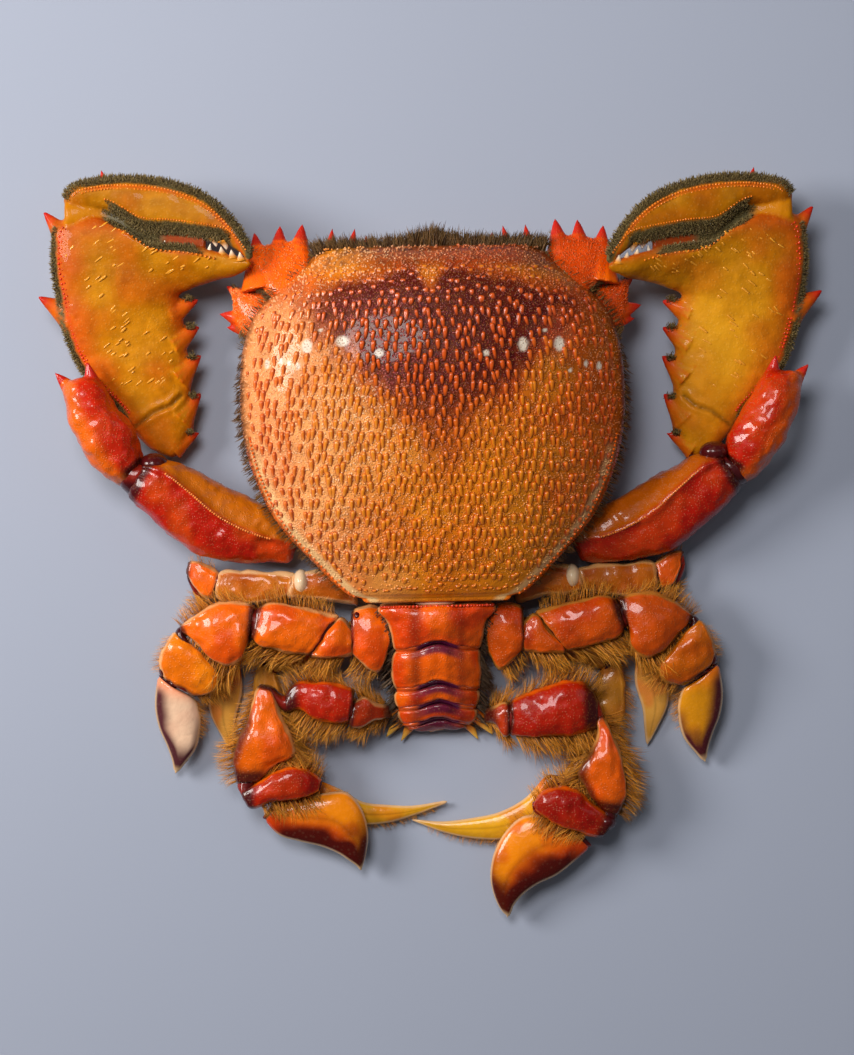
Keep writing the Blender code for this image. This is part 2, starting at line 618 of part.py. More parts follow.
def build_legs():
    both = (
        ("second_base", SECOND_BASE, "leg_pale", PALE),
        ("second_thigh", SECOND_THIGH, "leg_pale", PALE),
        ("second_shin", SECOND_SHIN, "leg_orange", ORANGE_RED),
        ("second_foot", SECOND_FOOT, "leg_orange", ORANGE_RED),
        ("second_blade", SECOND_BLADE, "leg_horn", HORN),
        ("third_thigh", THIRD_THIGH, "leg_orange", ORANGE_RED),
        ("third_shin", THIRD_SHIN, "leg_orange", ORANGE_RED),
        ("fourth_hip", FOURTH_HIP, "leg_orange", ORANGE_RED),
        ("fourth_knee", FOURTH_KNEE, "leg_orange", ORANGE_RED),
        ("fourth_thigh", FOURTH_THIGH, "leg_orange", ORANGE_RED),
        ("fourth_shin", FOURTH_SHIN, "leg_orange", ORANGE_RED),
        ("fourth_foot", FOURTH_FOOT, "leg_orange", ORANGE_RED),
        ("fourth_blade", FOURTH_BLADE, "leg_horn", HORN),
    )
    for name, rows, slot, color in both:
        count = max(STEPS_LEG, len(rows))
        around = AROUND_LEG if name.startswith("fourth") else AROUND_HIDDEN
        finish(mesh_object(name + "_left", *plate(rows, around, count)), slot, color)
        finish(mesh_object(name + "_right", *plate(mirrored(rows), around, count)), slot, color)
    single = (
        ("fifth_hip_left", LEFT_FIFTH_HIP, "leg_orange", ORANGE_RED),
        ("fifth_thigh_left", LEFT_FIFTH_THIGH, "leg_orange", ORANGE_RED),
        ("fifth_shin_left", LEFT_FIFTH_SHIN, "leg_orange", ORANGE_RED),
        ("fifth_foot_left", LEFT_FIFTH_FOOT, "leg_orange", ORANGE_RED),
        ("fifth_blade_left", LEFT_FIFTH_BLADE, "leg_horn", HORN),
        ("fifth_hip_right", RIGHT_FIFTH_HIP, "leg_orange", ORANGE_RED),
        ("fifth_thigh_right", RIGHT_FIFTH_THIGH, "leg_orange", ORANGE_RED),
        ("fifth_shin_right", RIGHT_FIFTH_SHIN, "leg_orange", ORANGE_RED),
        ("fifth_foot_right", RIGHT_FIFTH_FOOT, "leg_orange", ORANGE_RED),
        ("fifth_blade_right", RIGHT_FIFTH_BLADE, "leg_horn", HORN),
        ("third_blade_left", THIRD_BLADE, "leg_horn", HORN),
        ("third_blade_right", RIGHT_THIRD_BLADE, "leg_horn", HORN),
    )
    for name, rows, slot, color in single:
        count = max(STEPS_LEG, len(rows))
        finish(mesh_object(name, *plate(rows, AROUND_LEG, count)), slot, color)


def build_tail():
    for number, rows in enumerate((TAIL_1, TAIL_2, TAIL_3, TAIL_4, TAIL_5), 1):
        finish(mesh_object(f"tail_{number}", *plate(rows, 12, max(4, len(rows)))), "tail_red", DEEP_RED)


def build_underside():
    finish(mesh_object("underbody", *plate(UNDERBODY, 18, 12, floor=0.0)), "under_pale", PALE)
    for side, turn in (("left", lambda rows: rows), ("right", mirrored)):
        finish(mesh_object("mouth_cover_" + side, *plate(turn(MOUTH_COVER), 8, 5)), "under_pale", PALE)
        finish(mesh_object("eye_stalk_" + side, *plate(turn(EYE_STALK), 8, 4)), "under_pale", PALE)


def main():
    for obj in list(bpy.data.objects):
        bpy.data.objects.remove(obj)
    build_shell()
    build_claws()
    build_legs()
    build_tail()
    build_underside()


main()
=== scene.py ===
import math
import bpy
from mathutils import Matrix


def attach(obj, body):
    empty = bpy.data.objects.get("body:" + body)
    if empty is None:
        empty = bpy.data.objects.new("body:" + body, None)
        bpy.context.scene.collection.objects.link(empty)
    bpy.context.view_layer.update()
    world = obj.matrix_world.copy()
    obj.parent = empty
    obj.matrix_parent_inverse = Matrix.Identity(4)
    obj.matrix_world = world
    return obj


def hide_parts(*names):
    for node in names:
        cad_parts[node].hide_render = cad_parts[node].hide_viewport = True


bl_info = {
    "name": "Spanner crab",
    "version": (1, 0, 0),
    "blender": (4, 5, 0),
    "location": "View3D > Sidebar > Crab",
    "description": "Dresses the solid model of a cooked spanner crab with its shell, bristles and finish",
    "category": "Object",
}

import bmesh
import bpy
import numpy as np
from bpy.props import FloatProperty, FloatVectorProperty, IntProperty, PointerProperty

from mathutils.kdtree import KDTree

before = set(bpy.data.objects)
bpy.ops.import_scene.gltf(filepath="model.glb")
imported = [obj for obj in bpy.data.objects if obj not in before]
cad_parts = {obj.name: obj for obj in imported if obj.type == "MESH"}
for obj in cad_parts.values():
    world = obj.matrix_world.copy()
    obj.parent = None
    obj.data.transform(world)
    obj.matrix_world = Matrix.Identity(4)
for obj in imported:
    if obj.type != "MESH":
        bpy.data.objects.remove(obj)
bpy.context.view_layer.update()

MM = 0.001
LOWEST = 0.05 * MM

# The right claw is held a little further back than the left one
RIGHT_CLAW_BACK = 3.6
WRIST_BACK = 0.72
ARM_BACK = 0.5

# Each row below is one rib across a plate, from its outer or front edge to its
# other edge: edge x, y, other edge x, y, height of the edges, rise, drop.
# The shell's rows give distance forward, half width, rim height, rise, drop.
SHELL = (
    (-59.4, 24.5, 25.5, 2.0, 1.6),
    (-56.5, 29.0, 24.5, 6.0, 2.4),
    (-46.0, 40.0, 23.0, 13.5, 3.0),
    (-33.0, 51.5, 21.5, 19.5, 3.0),
    (-19.0, 58.5, 20.5, 24.0, 3.0),
    (-3.0, 62.6, 20.0, 27.0, 3.0),
    (11.0, 63.2, 20.0, 28.0, 3.0),
    (25.0, 61.8, 20.5, 27.0, 3.0),
    (36.0, 57.5, 21.0, 24.5, 3.0),
    (45.5, 48.0, 22.0, 20.5, 3.0),
    (51.5, 40.5, 22.5, 16.0, 3.0),
    (56.8, 36.5, 22.5, 9.0, 2.6),
)
CLAW_ARM = (
    (-43, -31, -48.5, -45.5, 10, 6, 6),
    (-58, -26, -64, -45.5, 11, 8, 8),
    (-68.5, -20.5, -78, -42.5, 12, 9, 8.5),
    (-77.5, -15.5, -89, -34.5, 13, 9.5, 9),
    (-88, -11, -97.5, -26.5, 14, 9.5, 9),
    (-95, -10.5, -101.5, -22, 14.5, 8, 8),
)
CLAW_WRIST = (
    (-96.5, -11.5, -103, -20.5, 14.5, 8, 7.5),
    (-97, -6.5, -110, -14.5, 16.5, 9.5, 8),
    (-99.5, 0.5, -115.5, -7, 18, 9.5, 7),
    (-103.5, 7, -119.5, 1.5, 18.5, 9, 6),
    (-107.5, 13, -121, 9, 18.5, 8, 5.5),
    (-111, 17.5, -121.5, 15, 18, 5.5, 5),
)
CLAW_PALM = (
    (-92, -8.5, -85.5, -10, 8, 3.5, 4),
    (-98.5, -2, -80.5, -1, 8, 5, 5),
    (-106, 7.5, -80, 11.5, 8.5, 6, 5.8),
    (-114.5, 16, -80.5, 22.5, 9.5, 6.5, 6.5),
    (-120, 27, -81.5, 32.5, 10.5, 7, 7),
    (-123.5, 42, -83, 40.5, 12, 7.5, 7.5),
    (-125, 58.5, -83, 43.5, 13.5, 7.5, 7.5),
    (-123, 68, -81.5, 44.5, 15, 6.6, 7),
    (-114, 70, -79.5, 45, 16.5, 6.2, 6.5),
    (-103.5, 67, -76.5, 46, 18, 6, 6),
    (-95.5, 61, -72.5, 47, 19.5, 5.5, 5.5),
    (-83, 59.4, -68, 48, 22, 5, 4.8),
    (-70, 57, -63.5, 48.6, 25.5, 4, 3.6),
    (-58, 53, -58, 51, 29, 1.4, 1.2),
)
CLAW_FINGER = (
    (-121, 75.5, -117, 71.5, 14.5, 4, 4),
    (-118.5, 79.5, -111, 72, 15.2, 5.5, 5),
    (-110, 82, -103, 71, 16.5, 6, 5.5),
    (-97.5, 82.5, -94, 64.5, 18.5, 6, 5.2),
    (-84.5, 80.5, -84.5, 63, 20.5, 5.8, 5),
    (-73.5, 76, -75.5, 61.5, 22.5, 5.4, 4.6),
    (-65.5, 69, -67.5, 59.5, 25, 4.6, 3.8),
    (-60, 61.5, -63, 56.5, 27.5, 3.2, 2.6),
    (-57, 54.5, -58.5, 53, 29.3, 1.2, 1),
)
SECOND_BASE = (
    (-27.5, -47, -27, -60.5, 9, 4, 4),
    (-33, -48, -35, -59, 10.5, 5, 5),
    (-41.5, -48.5, -43.5, -58, 10.5, 4.6, 5),
    (-46.5, -49.5, -48.5, -57, 10, 4, 4.5),
)
SECOND_THIGH = (
    (-47.5, -49.5, -49.5, -57, 9, 3.6, 4.5),
    (-54.5, -48.5, -56.5, -59, 8.5, 4, 5),
    (-64, -48, -65, -59.5, 8, 4, 5),
    (-70, -47.5, -72, -58, 7.5, 3.6, 4.5),
    (-72.2, -48.5, -73.4, -56, 7.2, 3, 4),
)
SECOND_SHIN = (
    (-72.8, -48, -75.2, -57, 7, 3, 3.5),
    (-76, -46, -78, -56.5, 6.8, 3.4, 3.5),
    (-79.5, -44.5, -80.5, -53, 6.6, 3, 3.5),
    (-82, -45, -82, -49.5, 6.4, 2.2, 3),
)
SECOND_FOOT = (
    (-81.5, -54.5, -76.5, -58.5, 4.4, 1.6, 2.2),
    (-80, -60, -72.5, -62.5, 4.2, 2, 2.5),
    (-77.5, -68.5, -70, -66.5, 4, 2.2, 2.2),
    (-73.5, -77.5, -67.5, -74, 3.5, 1.8, 2),
    (-71, -81, -66, -78.5, 3.3, 1.4, 1.6),
)
SECOND_BLADE = (
    (-72.8, -82.6, -66.2, -80.2, 3.3, 1.5, 1.5),
    (-76, -87.5, -65.5, -87, 3.2, 1.7, 1.5),
    (-76.5, -96, -68, -97.5, 2.8, 1.5, 1.4),
    (-73, -103.5, -68.5, -104.5, 2.4, 1, 1),
    (-70, -109, -69, -109.5, 2, 0.5, 0.5),
)
THIRD_THIGH = (
    (-28, -65.5, -29, -75.5, 6, 3, 3),
    (-37, -68.5, -37, -78.5, 5, 3, 3),
    (-48.5, -71.5, -48, -81.5, 4.6, 3, 2.8),
    (-56.5, -75.5, -54.5, -83, 4.4, 2.4, 2.4),
)
THIRD_SHIN = (
    (-60, -79.3, -54.3, -83.2, 4.4, 2.4, 2.4),
    (-62, -87, -52.5, -88.5, 4.2, 2.6, 2.4),
    (-61.5, -100, -51, -99.5, 4, 2.4, 2.4),
    (-56.5, -112.5, -46.5, -109.5, 3.6, 2.2, 2.2),
    (-49.5, -123, -41, -118, 3.2, 1.8, 1.8),
)
THIRD_BLADE = (
    (-47.5, -127, -40, -119, 3.2, 1.6, 1.6),
    (-37, -132, -33.5, -122, 3, 2, 1.8),
    (-25, -134, -25.5, -126.5, 2.8, 2, 1.8),
    (-17.5, -133.5, -18, -127.5, 2.6, 1.8, 1.6),
    (-9.5, -131.5, -10.5, -128, 2.3, 1.3, 1.3),
    (2, -127.5, 2, -126.5, 2, 0.4, 0.4),
)
FOURTH_HIP = (
    (-16, -65.5, -16.5, -75.5, 13.5, 5, 5),
    (-19.5, -61, -20, -82.5, 14, 6, 5.5),
    (-24.5, -60.5, -25, -79.5, 14.5, 6, 5.5),
    (-28, -62, -28, -76, 14.5, 5, 5),
)
FOURTH_KNEE = (
    (-28.5, -68, -28.5, -76, 14.5, 4.5, 4.5),
    (-32, -64, -33, -77.5, 14.8, 6, 5),
    (-37, -69.5, -38, -77.5, 15, 5.5, 5),
    (-41.5, -74.5, -42, -77, 15, 3.5, 3.5),
)
FOURTH_THIGH = (
    (-33, -63.5, -43, -76.5, 15, 5.5, 5),
    (-39, -61.5, -48.5, -76, 15, 7, 5.5),
    (-46.5, -60, -54, -74.5, 15, 7.5, 5.5),
    (-54.5, -58.5, -59, -73, 14.8, 7, 5.5),
    (-59, -60, -61.5, -70.5, 14.5, 5.5, 5),
)
FOURTH_SHIN = (
    (-60, -60, -62.5, -69.5, 14.5, 5, 5),
    (-65.5, -58, -64.5, -76.5, 14.3, 7, 5.5),
    (-71.5, -58, -69, -79.5, 14, 7.5, 5.5),
    (-77.5, -60.5, -75.5, -76.5, 13.5, 7, 5.5),
    (-82, -63.5, -80, -71.5, 13, 5, 4.5),
    (-85, -66, -84, -68, 12.5, 2.5, 3),
)
FOURTH_FOOT = (
    (-87, -68, -81.5, -72, 12, 4, 4),
    (-90, -71.5, -75.5, -78, 12, 6, 5),
    (-91.5, -75.5, -72.5, -82.5, 11.5, 6, 5),
    (-92, -79, -74, -87.5, 11, 5.5, 4.5),
    (-90, -83.5, -80, -89, 10.5, 4, 3.5),
)
FOURTH_BLADE = (
    (-93, -82.2, -87, -86.8, 9.3, 3.3, 3.5),
    (-94, -87, -81.5, -90, 9, 4, 3.5),
    (-94.5, -93, -79.5, -95, 8, 3.8, 3.2),
    (-93.5, -99.5, -79.5, -100.5, 7, 3.4, 3),
    (-91, -106, -81.5, -107.5, 6, 2.8, 2.5),
    (-89.5, -111, -85, -112, 5, 1.8, 1.8),
    (-89, -115, -88, -115.5, 4.2, 0.5, 0.5),
)
LEFT_FIFTH_HIP = (
    (-16.5, -94, -16.5, -98.5, 6, 2.5, 2.5),
    (-21.5, -93, -22, -99, 10, 4.5, 4),
    (-25, -90.5, -26.5, -101, 11, 5, 4.5),
    (-28.3, -92, -28.8, -100, 11.5, 5, 4.5),
)
LEFT_FIFTH_THIGH = (
    (-28.5, -88, -29.5, -99, 12, 5.5, 5),
    (-34, -86, -35, -99.5, 12.5, 6.5, 5.5),
    (-40.5, -85, -41.5, -97, 12.5, 6.5, 5.5),
    (-46, -85, -46.5, -94.5, 12, 5.5, 5),
    (-50.6, -89.2, -50, -95.8, 11.5, 4.5, 4.5),
)
LEFT_FIFTH_SHIN = (
    (-59.5, -86.5, -55, -87.5, 11.5, 4.5, 4.5),
    (-62, -91.5, -53, -93.5, 12, 6, 5),
    (-64.5, -98.5, -50, -101.5, 12.5, 6.5, 5),
    (-67.5, -105, -48, -108.5, 12.5, 6.5, 5),
    (-69, -110.5, -54, -112.5, 12, 6, 4.5),
    (-67.5, -118, -60.5, -117.5, 11, 4, 4),
)
LEFT_FIFTH_FOOT = (
    (-66, -120.8, -63, -126, 11.5, 4, 3.5),
    (-60, -117.4, -60, -126.2, 12, 5.5, 4),
    (-54, -114, -55.5, -125, 12.5, 6, 4),
    (-48.5, -113, -49, -124.5, 12.5, 6, 4),
    (-43.5, -114, -44, -123.5, 12, 5, 3.5),
    (-40, -117.5, -40.5, -121, 11.5, 2.5, 2.5),
)
LEFT_FIFTH_BLADE = (
    (-59, -131, -54.5, -125.5, 8.5, 3, 2.5),
    (-54.5, -136, -47, -124, 8.5, 3.5, 2.5),
    (-47.5, -138.5, -38, -122.5, 8.5, 3.8, 2.5),
    (-40, -140.5, -30.5, -123, 8.2, 3.8, 2.5),
    (-34.5, -143, -25.5, -130.5, 7.8, 3.4, 2.4),
    (-31, -145.5, -24.5, -138, 7.2, 2.8, 2.2),
    (-28.5, -147.5, -25.5, -144, 6.6, 1.6, 1.5),
    (-27, -149.5, -27, -149, 6, 0.4, 0.4),
)
RIGHT_FIFTH_HIP = (
    (15.5, -96, 15.5, -100.5, 6, 2.5, 2.5),
    (18, -94.8, 18.4, -101, 9.5, 4.2, 4),
    (21, -93, 21.5, -105, 11, 5, 4.5),
    (23.2, -93.5, 22.8, -104, 11.5, 5, 4.5),
)
RIGHT_FIFTH_THIGH = (
    (24, -93, 24, -104, 12, 5.5, 5),
    (29.5, -90.5, 29.5, -105.5, 12.5, 6.5, 5.5),
    (36.5, -88, 36.5, -105, 12.8, 7, 5.5),
    (43, -86.5, 43.5, -104.5, 12.8, 7, 5.5),
    (49.5, -88, 49, -103, 12.3, 6, 5),
    (52.5, -92, 51.5, -102, 11.8, 4.5, 4.5),
)
RIGHT_FIFTH_SHIN = (
    (51.5, -100, 54.5, -98, 11.5, 4.5, 4.5),
    (51.5, -105, 57.5, -104.5, 12, 6, 5),
    (49, -111, 59.5, -111.5, 12.5, 6.5, 5),
    (45, -117, 61.5, -118.5, 12.5, 6.5, 5),
    (47.5, -122.5, 61.5, -125, 12, 6, 4.5),
    (53, -129.5, 58.5, -131, 11, 4, 4),
)
RIGHT_FIFTH_FOOT = (
    (56.3, -133.2, 53, -139, 11.5, 4, 3.5),
    (51.6, -128.2, 48.5, -138, 12, 5.5, 4),
    (45.5, -123, 42.5, -135.5, 12.5, 6, 4),
    (39.5, -122, 37.5, -134.5, 12.5, 6, 4),
    (34, -123.5, 33, -131.5, 12, 5, 3.5),
    (31, -126.5, 31, -129, 11.5, 2.5, 2.5),
)
RIGHT_FIFTH_BLADE = (
    (49.3, -142.6, 44.4, -137.4, 8, 3, 2.5),
    (44, -147, 37, -133, 8.5, 3.5, 2.5),
    (38, -151.5, 28, -131.5, 8.5, 3.8, 2.5),
    (31.5, -154.5, 21, -137, 8.2, 3.8, 2.5),
    (26.5, -158, 16.5, -146, 7.8, 3.4, 2.4),
    (23.5, -161.5, 16, -154.5, 7.2, 2.8, 2.2),
    (22.5, -164, 18.5, -162, 6.6, 1.6, 1.5),
    (21.5, -166, 21, -165.5, 6, 0.4, 0.4),
)
RIGHT_THIRD_BLADE = (
    (39, -127, 35, -119, 3.2, 1.6, 1.6),
    (29.5, -138.5, 27, -127, 3, 2, 1.8),
    (19, -140, 18.5, -131, 2.8, 2, 1.8),
    (11, -139.5, 10.5, -132.5, 2.6, 1.8, 1.6),
    (1.5, -137.5, 0.5, -133.5, 2.3, 1.3, 1.3),
    (-10, -133, -10, -132.5, 2, 0.4, 0.4),
)
TAIL_1 = (
    (-18.5, -60.2, 18.5, -60.2, 18.5, 6.5, 3),
    (-19.5, -62, 19.5, -62, 18.5, 8, 3.5),
    (-17, -65.5, 17, -65.5, 18, 9, 4),
    (-15.5, -70.5, 15, -71, 17, 9, 4),
    (-14.5, -75.2, 14, -75.2, 15.5, 8.5, 4),
)
TAIL_2 = (
    (-14.5, -75.7, 14, -75.7, 14.6, 7.5, 3.5),
    (-15.5, -78, 14, -79, 14, 8.5, 4),
    (-15.5, -84, 14, -84.5, 12.5, 8.5, 4),
    (-14.5, -88.6, 14, -88.6, 11, 7.5, 4),
)
TAIL_3 = (
    (-14.5, -89.1, 13.5, -89.1, 10, 6.5, 3.5),
    (-15, -91, 13.8, -91.2, 9.5, 7.5, 3.5),
    (-14, -95.2, 12.8, -95.2, 8, 6.5, 3.5),
)
TAIL_4 = (
    (-14, -95.7, 12.5, -95.7, 7.2, 5.5, 3),
    (-14, -98, 12.5, -98, 6.5, 6, 3),
    (-12.5, -101, 10.5, -101, 5.2, 5, 3),
)
TAIL_5 = (
    (-11, -101.5, 8.8, -101.5, 4.6, 3.8, 2.5),
    (-8.5, -103.2, 6.4, -103.4, 3.8, 3.4, 2.2),
    (-3.5, -105.4, 1.5, -105.4, 3, 1.8, 1.6),
)
BROW_LOBE = (
    (-45, 33, -30, 43, 29.5, 5, 4),
    (-50.5, 39.5, -35, 47.5, 25.5, 5.4, 4),
    (-56, 45.5, -39.5, 52, 22.6, 4.4, 3.4),
    (-58.5, 52.5, -40.5, 56.5, 21.4, 3.2, 2.8),
    (-58.5, 58, -41, 60.5, 20.5, 2.2, 2),
)
CHEEK_LOBE = (
    (-48, 39, -51, 25.5, 24, 4, 3.5),
    (-54, 41, -56, 27.5, 21, 4.4, 3.6),
    (-61, 44, -61.5, 30, 18.6, 3.5, 3),
    (-65.5, 46, -64.5, 35, 17.5, 2.4, 2.2),
)
UNDERBODY = (
    (-7.0, -95.0, 7.0, -95.0, 2.2, 0.7, 1.6),
    (-9.0, -87.0, 9.0, -87.0, 3.2, 1.2, 2.8),
    (-12.0, -75.0, 12.0, -75.0, 5.5, 2.5, 5.0),
    (-17.0, -62.0, 17.0, -62.0, 8.5, 3.5, 9.0),
    (-24.0, -50.0, 24.0, -50.0, 11.0, 5.0, 12.5),
    (-36.0, -32.0, 36.0, -32.0, 13.0, 3.6, 15.5),
    (-47.0, -8.0, 47.0, -8.0, 13.0, 3.4, 16.5),
    (-50.0, 12.0, 50.0, 12.0, 13.0, 3.4, 15.0),
    (-45.0, 32.0, 45.0, 32.0, 14.0, 3.2, 6.5),
    (-36.0, 46.0, 36.0, 46.0, 15.0, 3.4, 4.4),
    (-28.0, 53.0, 28.0, 53.0, 16.0, 1.8, 2.6),
)
MOUTH_COVER = (
    (-2.0, 31.0, -12.0, 32.0, 3.6, 1.2, 2.2),
    (-1.5, 38.0, -15.0, 40.0, 4.6, 1.8, 2.8),
    (-1.5, 50.0, -12.0, 52.0, 7.0, 2.0, 2.6),
    (-2.5, 57.5, -7.0, 58.5, 9.5, 1.4, 1.6),
)
EYE_STALK = (
    (-7.5, 55.0, -11.5, 55.0, 15.6, 1.6, 1.6),
    (-7.0, 57.0, -12.5, 57.2, 16.2, 2.2, 2.0),
    (-8.0, 59.4, -12.5, 59.4, 16.6, 1.6, 1.6),
)

# Spines and teeth: root x, y, z, tip x, y, z, radius at the root
BROW_SPINES = (
    (-43.0, 54.0, 21.0, -41.4, 66.0, 21.0, 5.0),
    (-49.5, 54.0, 20.8, -48.8, 65.6, 20.6, 4.8),
    (-56.0, 53.0, 20.5, -57.4, 63.6, 19.8, 4.6),
)
CHEEK_SPINES = (
    (-61.0, 41.5, 17.4, -67.6, 46.4, 15.6, 3.4),
    (-62.5, 35.0, 17.2, -70.0, 37.0, 15.6, 3.4),
    (-62.0, 31.5, 17.4, -67.8, 32.4, 16.2, 2.6),
)
FRONT_SPINES = (
    (-16.0, 53.0, 23.5, -14.6, 59.6, 22.6, 2.2),
    (-20.5, 52.5, 23.5, -20.6, 61.2, 22.6, 2.2),
    (-26.5, 52.5, 23.5, -24.2, 63.4, 22.8, 2.6),
    (-33.0, 52.5, 23.2, -31.6, 63.6, 22.4, 2.8),
)
ROSTRUM = ((0.0, 52.0, 24.0, 0.0, 62.4, 23.4, 4.0),)
PALM_SPINES = (
    (-85.0, 38.5, 12.2, -76.2, 42.0, 13.4, 2.8),
    (-85.0, 28.5, 11.0, -76.2, 33.4, 11.8, 3.2),
    (-84.0, 17.5, 10.0, -76.0, 24.0, 10.8, 3.4),
    (-84.0, 4.0, 8.6, -76.4, 11.6, 9.4, 3.4),
    (-86.0, -6.0, 8.2, -77.2, -1.6, 8.6, 2.6),
    (-119.0, 62.0, 14.6, -127.4, 72.4, 15.8, 3.0),
    (-119.0, 37.5, 12.0, -130.2, 44.4, 13.4, 3.2),
)
PALM_TEETH = (
    (-88.0, 56.5, 20.8, -86.0, 62.2, 22.2, 1.9),
    (-79.5, 56.0, 22.4, -77.6, 61.0, 23.8, 1.7),
    (-72.5, 54.6, 24.2, -71.4, 59.4, 25.4, 1.5),
)
FINGER_SPINES = (
    (-106.0, 78.5, 17.4, -107.4, 84.8, 18.4, 2.4),
    (-115.5, 74.5, 15.8, -118.6, 79.4, 16.6, 2.2),
)
WRIST_SPINES = (
    (-119.0, 13.0, 18.4, -124.2, 18.8, 19.4, 3.4),
    (-112.0, 15.5, 18.8, -113.2, 22.2, 20.4, 3.2),
)



# Where the claw's web has its ribs, and where teeth stand on the finger and the palm
WEB_STEPS = (-120.0, -116.5, -112.0, -107.0, -101.0, -94.0, -87.0, -80.0, -73.0)
FINGER_TEETH = (-83.5, -78.8, -74.2, -70.0, -66.6)
PALM_TIP_TEETH = (-67.6, -64.2, -61.4)
# The groove across the left palm's foot
PALM_GROOVE = ((-98.4, 0.5), (-92.4, 4.9), (-86.5, 7.1), (-83.2, 10.3))

# Small flaps beside the tail's end, on the left
TAIL_FLAPS = (
    (-11.0, -96.0, 4.6, -18.0, -105.0, 3.4, 3.6),
    (-12.0, -94.0, 5.0, -21.0, -100.0, 4.4, 2.8),
    (-8.5, -99.0, 3.4, -13.0, -106.5, 2.6, 2.6),
)

# Height of the ridge on top of the arm
ARM_RIDGE = 1.3

# White spots on the shell: x, y, half width, half length
SHELL_SPOTS = (
    (-40.0, 23.8, 1.6, 2.3),
    (-28.6, 25.1, 2.0, 1.7),
    (-16.9, 20.9, 1.1, 1.3),
    (-53.2, 18.8, 0.8, 1.5),
    (-48.6, 19.4, 0.6, 1.0),
    (-46.0, 18.7, 0.6, 0.9),
    (-43.1, 17.6, 0.6, 1.2),
    (-35.3, 28.9, 0.7, 0.6),
    (29.3, 22.9, 1.5, 2.2),
    (41.0, 23.0, 1.6, 2.3),
    (17.4, 20.2, 0.9, 1.1),
    (36.5, 27.3, 0.7, 0.6),
    (54.0, 15.8, 0.8, 1.5),
    (49.7, 16.6, 0.6, 1.1),
    (44.5, 14.4, 0.6, 0.7),
)


def linear(red, green, blue):
    """A colour given as 0 to 255 sRGB, turned to the linear values that Blender takes."""
    out = []
    for part in (red, green, blue):
        part = part / 255.0
        out.append(part / 12.92 if part <= 0.04045 else ((part + 0.055) / 1.055) ** 2.4)
    return tuple(out)


OCHRE = linear(206, 126, 3)
SHELL_REAR = linear(232, 136, 18)
SHELL_SIDE = linear(238, 116, 14)
SHELL_FRONT = linear(170, 70, 8)
SHELL_MAROON = linear(84, 6, 6)
SPOT_WHITE = linear(238, 226, 205)
STRIPE_CREAM = linear(246, 204, 140)
LOBE_RED = linear(255, 96, 4)
# Painted light and shade on the lobes: the left ones are brightened and the right ones darkened, as the
# light falls from the left
LOBE_PAINTED_LIGHT = 1.25
LOBE_PAINTED_SHADE = (0.78, 0.58, 0.40)
SPINE_TIP = linear(206, 34, 20)
ARM_RED = linear(190, 26, 3)
ARM_OCHRE = linear(210, 116, 8)
ARM_BELLY = linear(226, 120, 60)
UNDER_ORANGE = linear(232, 140, 70)
FELT_HAIR = linear(148, 130, 80)
TAIL_HAIR = (0.16, 0.11, 0.07)
# Painted shade: darker copies of the colours for the right arm, the right fourth leg and the other right
# legs, as the light falls from the left
RIGHT_ARM_PAINTED_SHADE = (0.84, 0.66, 0.40)
FOURTH_LEG_PAINTED_SHADE = (0.60, 0.48, 0.20)
RIGHT_LEG_PAINTED_SHADE = (0.88, 0.80, 0.60)
LEG_ORANGE = linear(252, 108, 2)
LEG_RED = linear(206, 44, 4)
TAIL_RED = linear(222, 66, 3)
TAIL_DARK = linear(88, 16, 56)
JOINT_DARK = linear(62, 10, 14)
BLADE_GLOW = linear(248, 140, 6)
BLADE_DARK = linear(70, 6, 4)
BLADE_EDGE = linear(232, 190, 140)
BLADE_YELLOW = linear(238, 172, 24)
FELT_OLIVE = linear(98, 88, 54)
BELLY = linear(236, 186, 120)
BRISTLE_GOLD = linear(255, 178, 58)
BRISTLE_BROWN = linear(128, 96, 52)
BRISTLE_OLIVE = linear(150, 122, 66)
PALE_RIM = linear(246, 190, 120)


class CrabShellSettings(bpy.types.PropertyGroup):
    """Sizes and colours of the domed shell."""

    bump_length: FloatProperty(
        name="Bump length", description="Length of one drop-shaped bump", default=3.9 * MM, unit="LENGTH"
    )
    bump_width: FloatProperty(
        name="Bump width", description="Width of one drop-shaped bump", default=2.3 * MM, unit="LENGTH"
    )
    bump_height: FloatProperty(
        name="Bump height",
        description="How far a bump stands out of the shell",
        default=0.95 * MM,
        unit="LENGTH",
    )
    across_step: FloatProperty(
        name="Step across",
        description="Distance between bumps across the shell",
        default=2.65 * MM,
        unit="LENGTH",
    )
    along_step: FloatProperty(
        name="Step along",
        description="Distance between bumps along the shell",
        default=3.55 * MM,
        unit="LENGTH",
    )
    granules: IntProperty(
        name="Granules", description="Number of fine granules between the bumps", default=15000
    )
    granule_width: FloatProperty(
        name="Granule width", description="Width of one granule", default=0.85 * MM, unit="LENGTH"
    )
    rear_color: FloatVectorProperty(
        name="Rear colour",
        description="Ochre of the rear half",
        subtype="COLOR",
        default=SHELL_REAR,
        min=0.0, max=1.0,
    )
    side_color: FloatVectorProperty(
        name="Side colour",
        description="Orange of the sides",
        subtype="COLOR",
        default=SHELL_SIDE,
        min=0.0, max=1.0,
    )
    patch_color: FloatVectorProperty(
        name="Patch colour",
        description="Maroon of the front patch",
        subtype="COLOR",
        default=SHELL_MAROON,
        min=0.0, max=1.0,
    )
    seed: IntProperty(name="Seed", description="Seed of the shell's random draws", default=7)


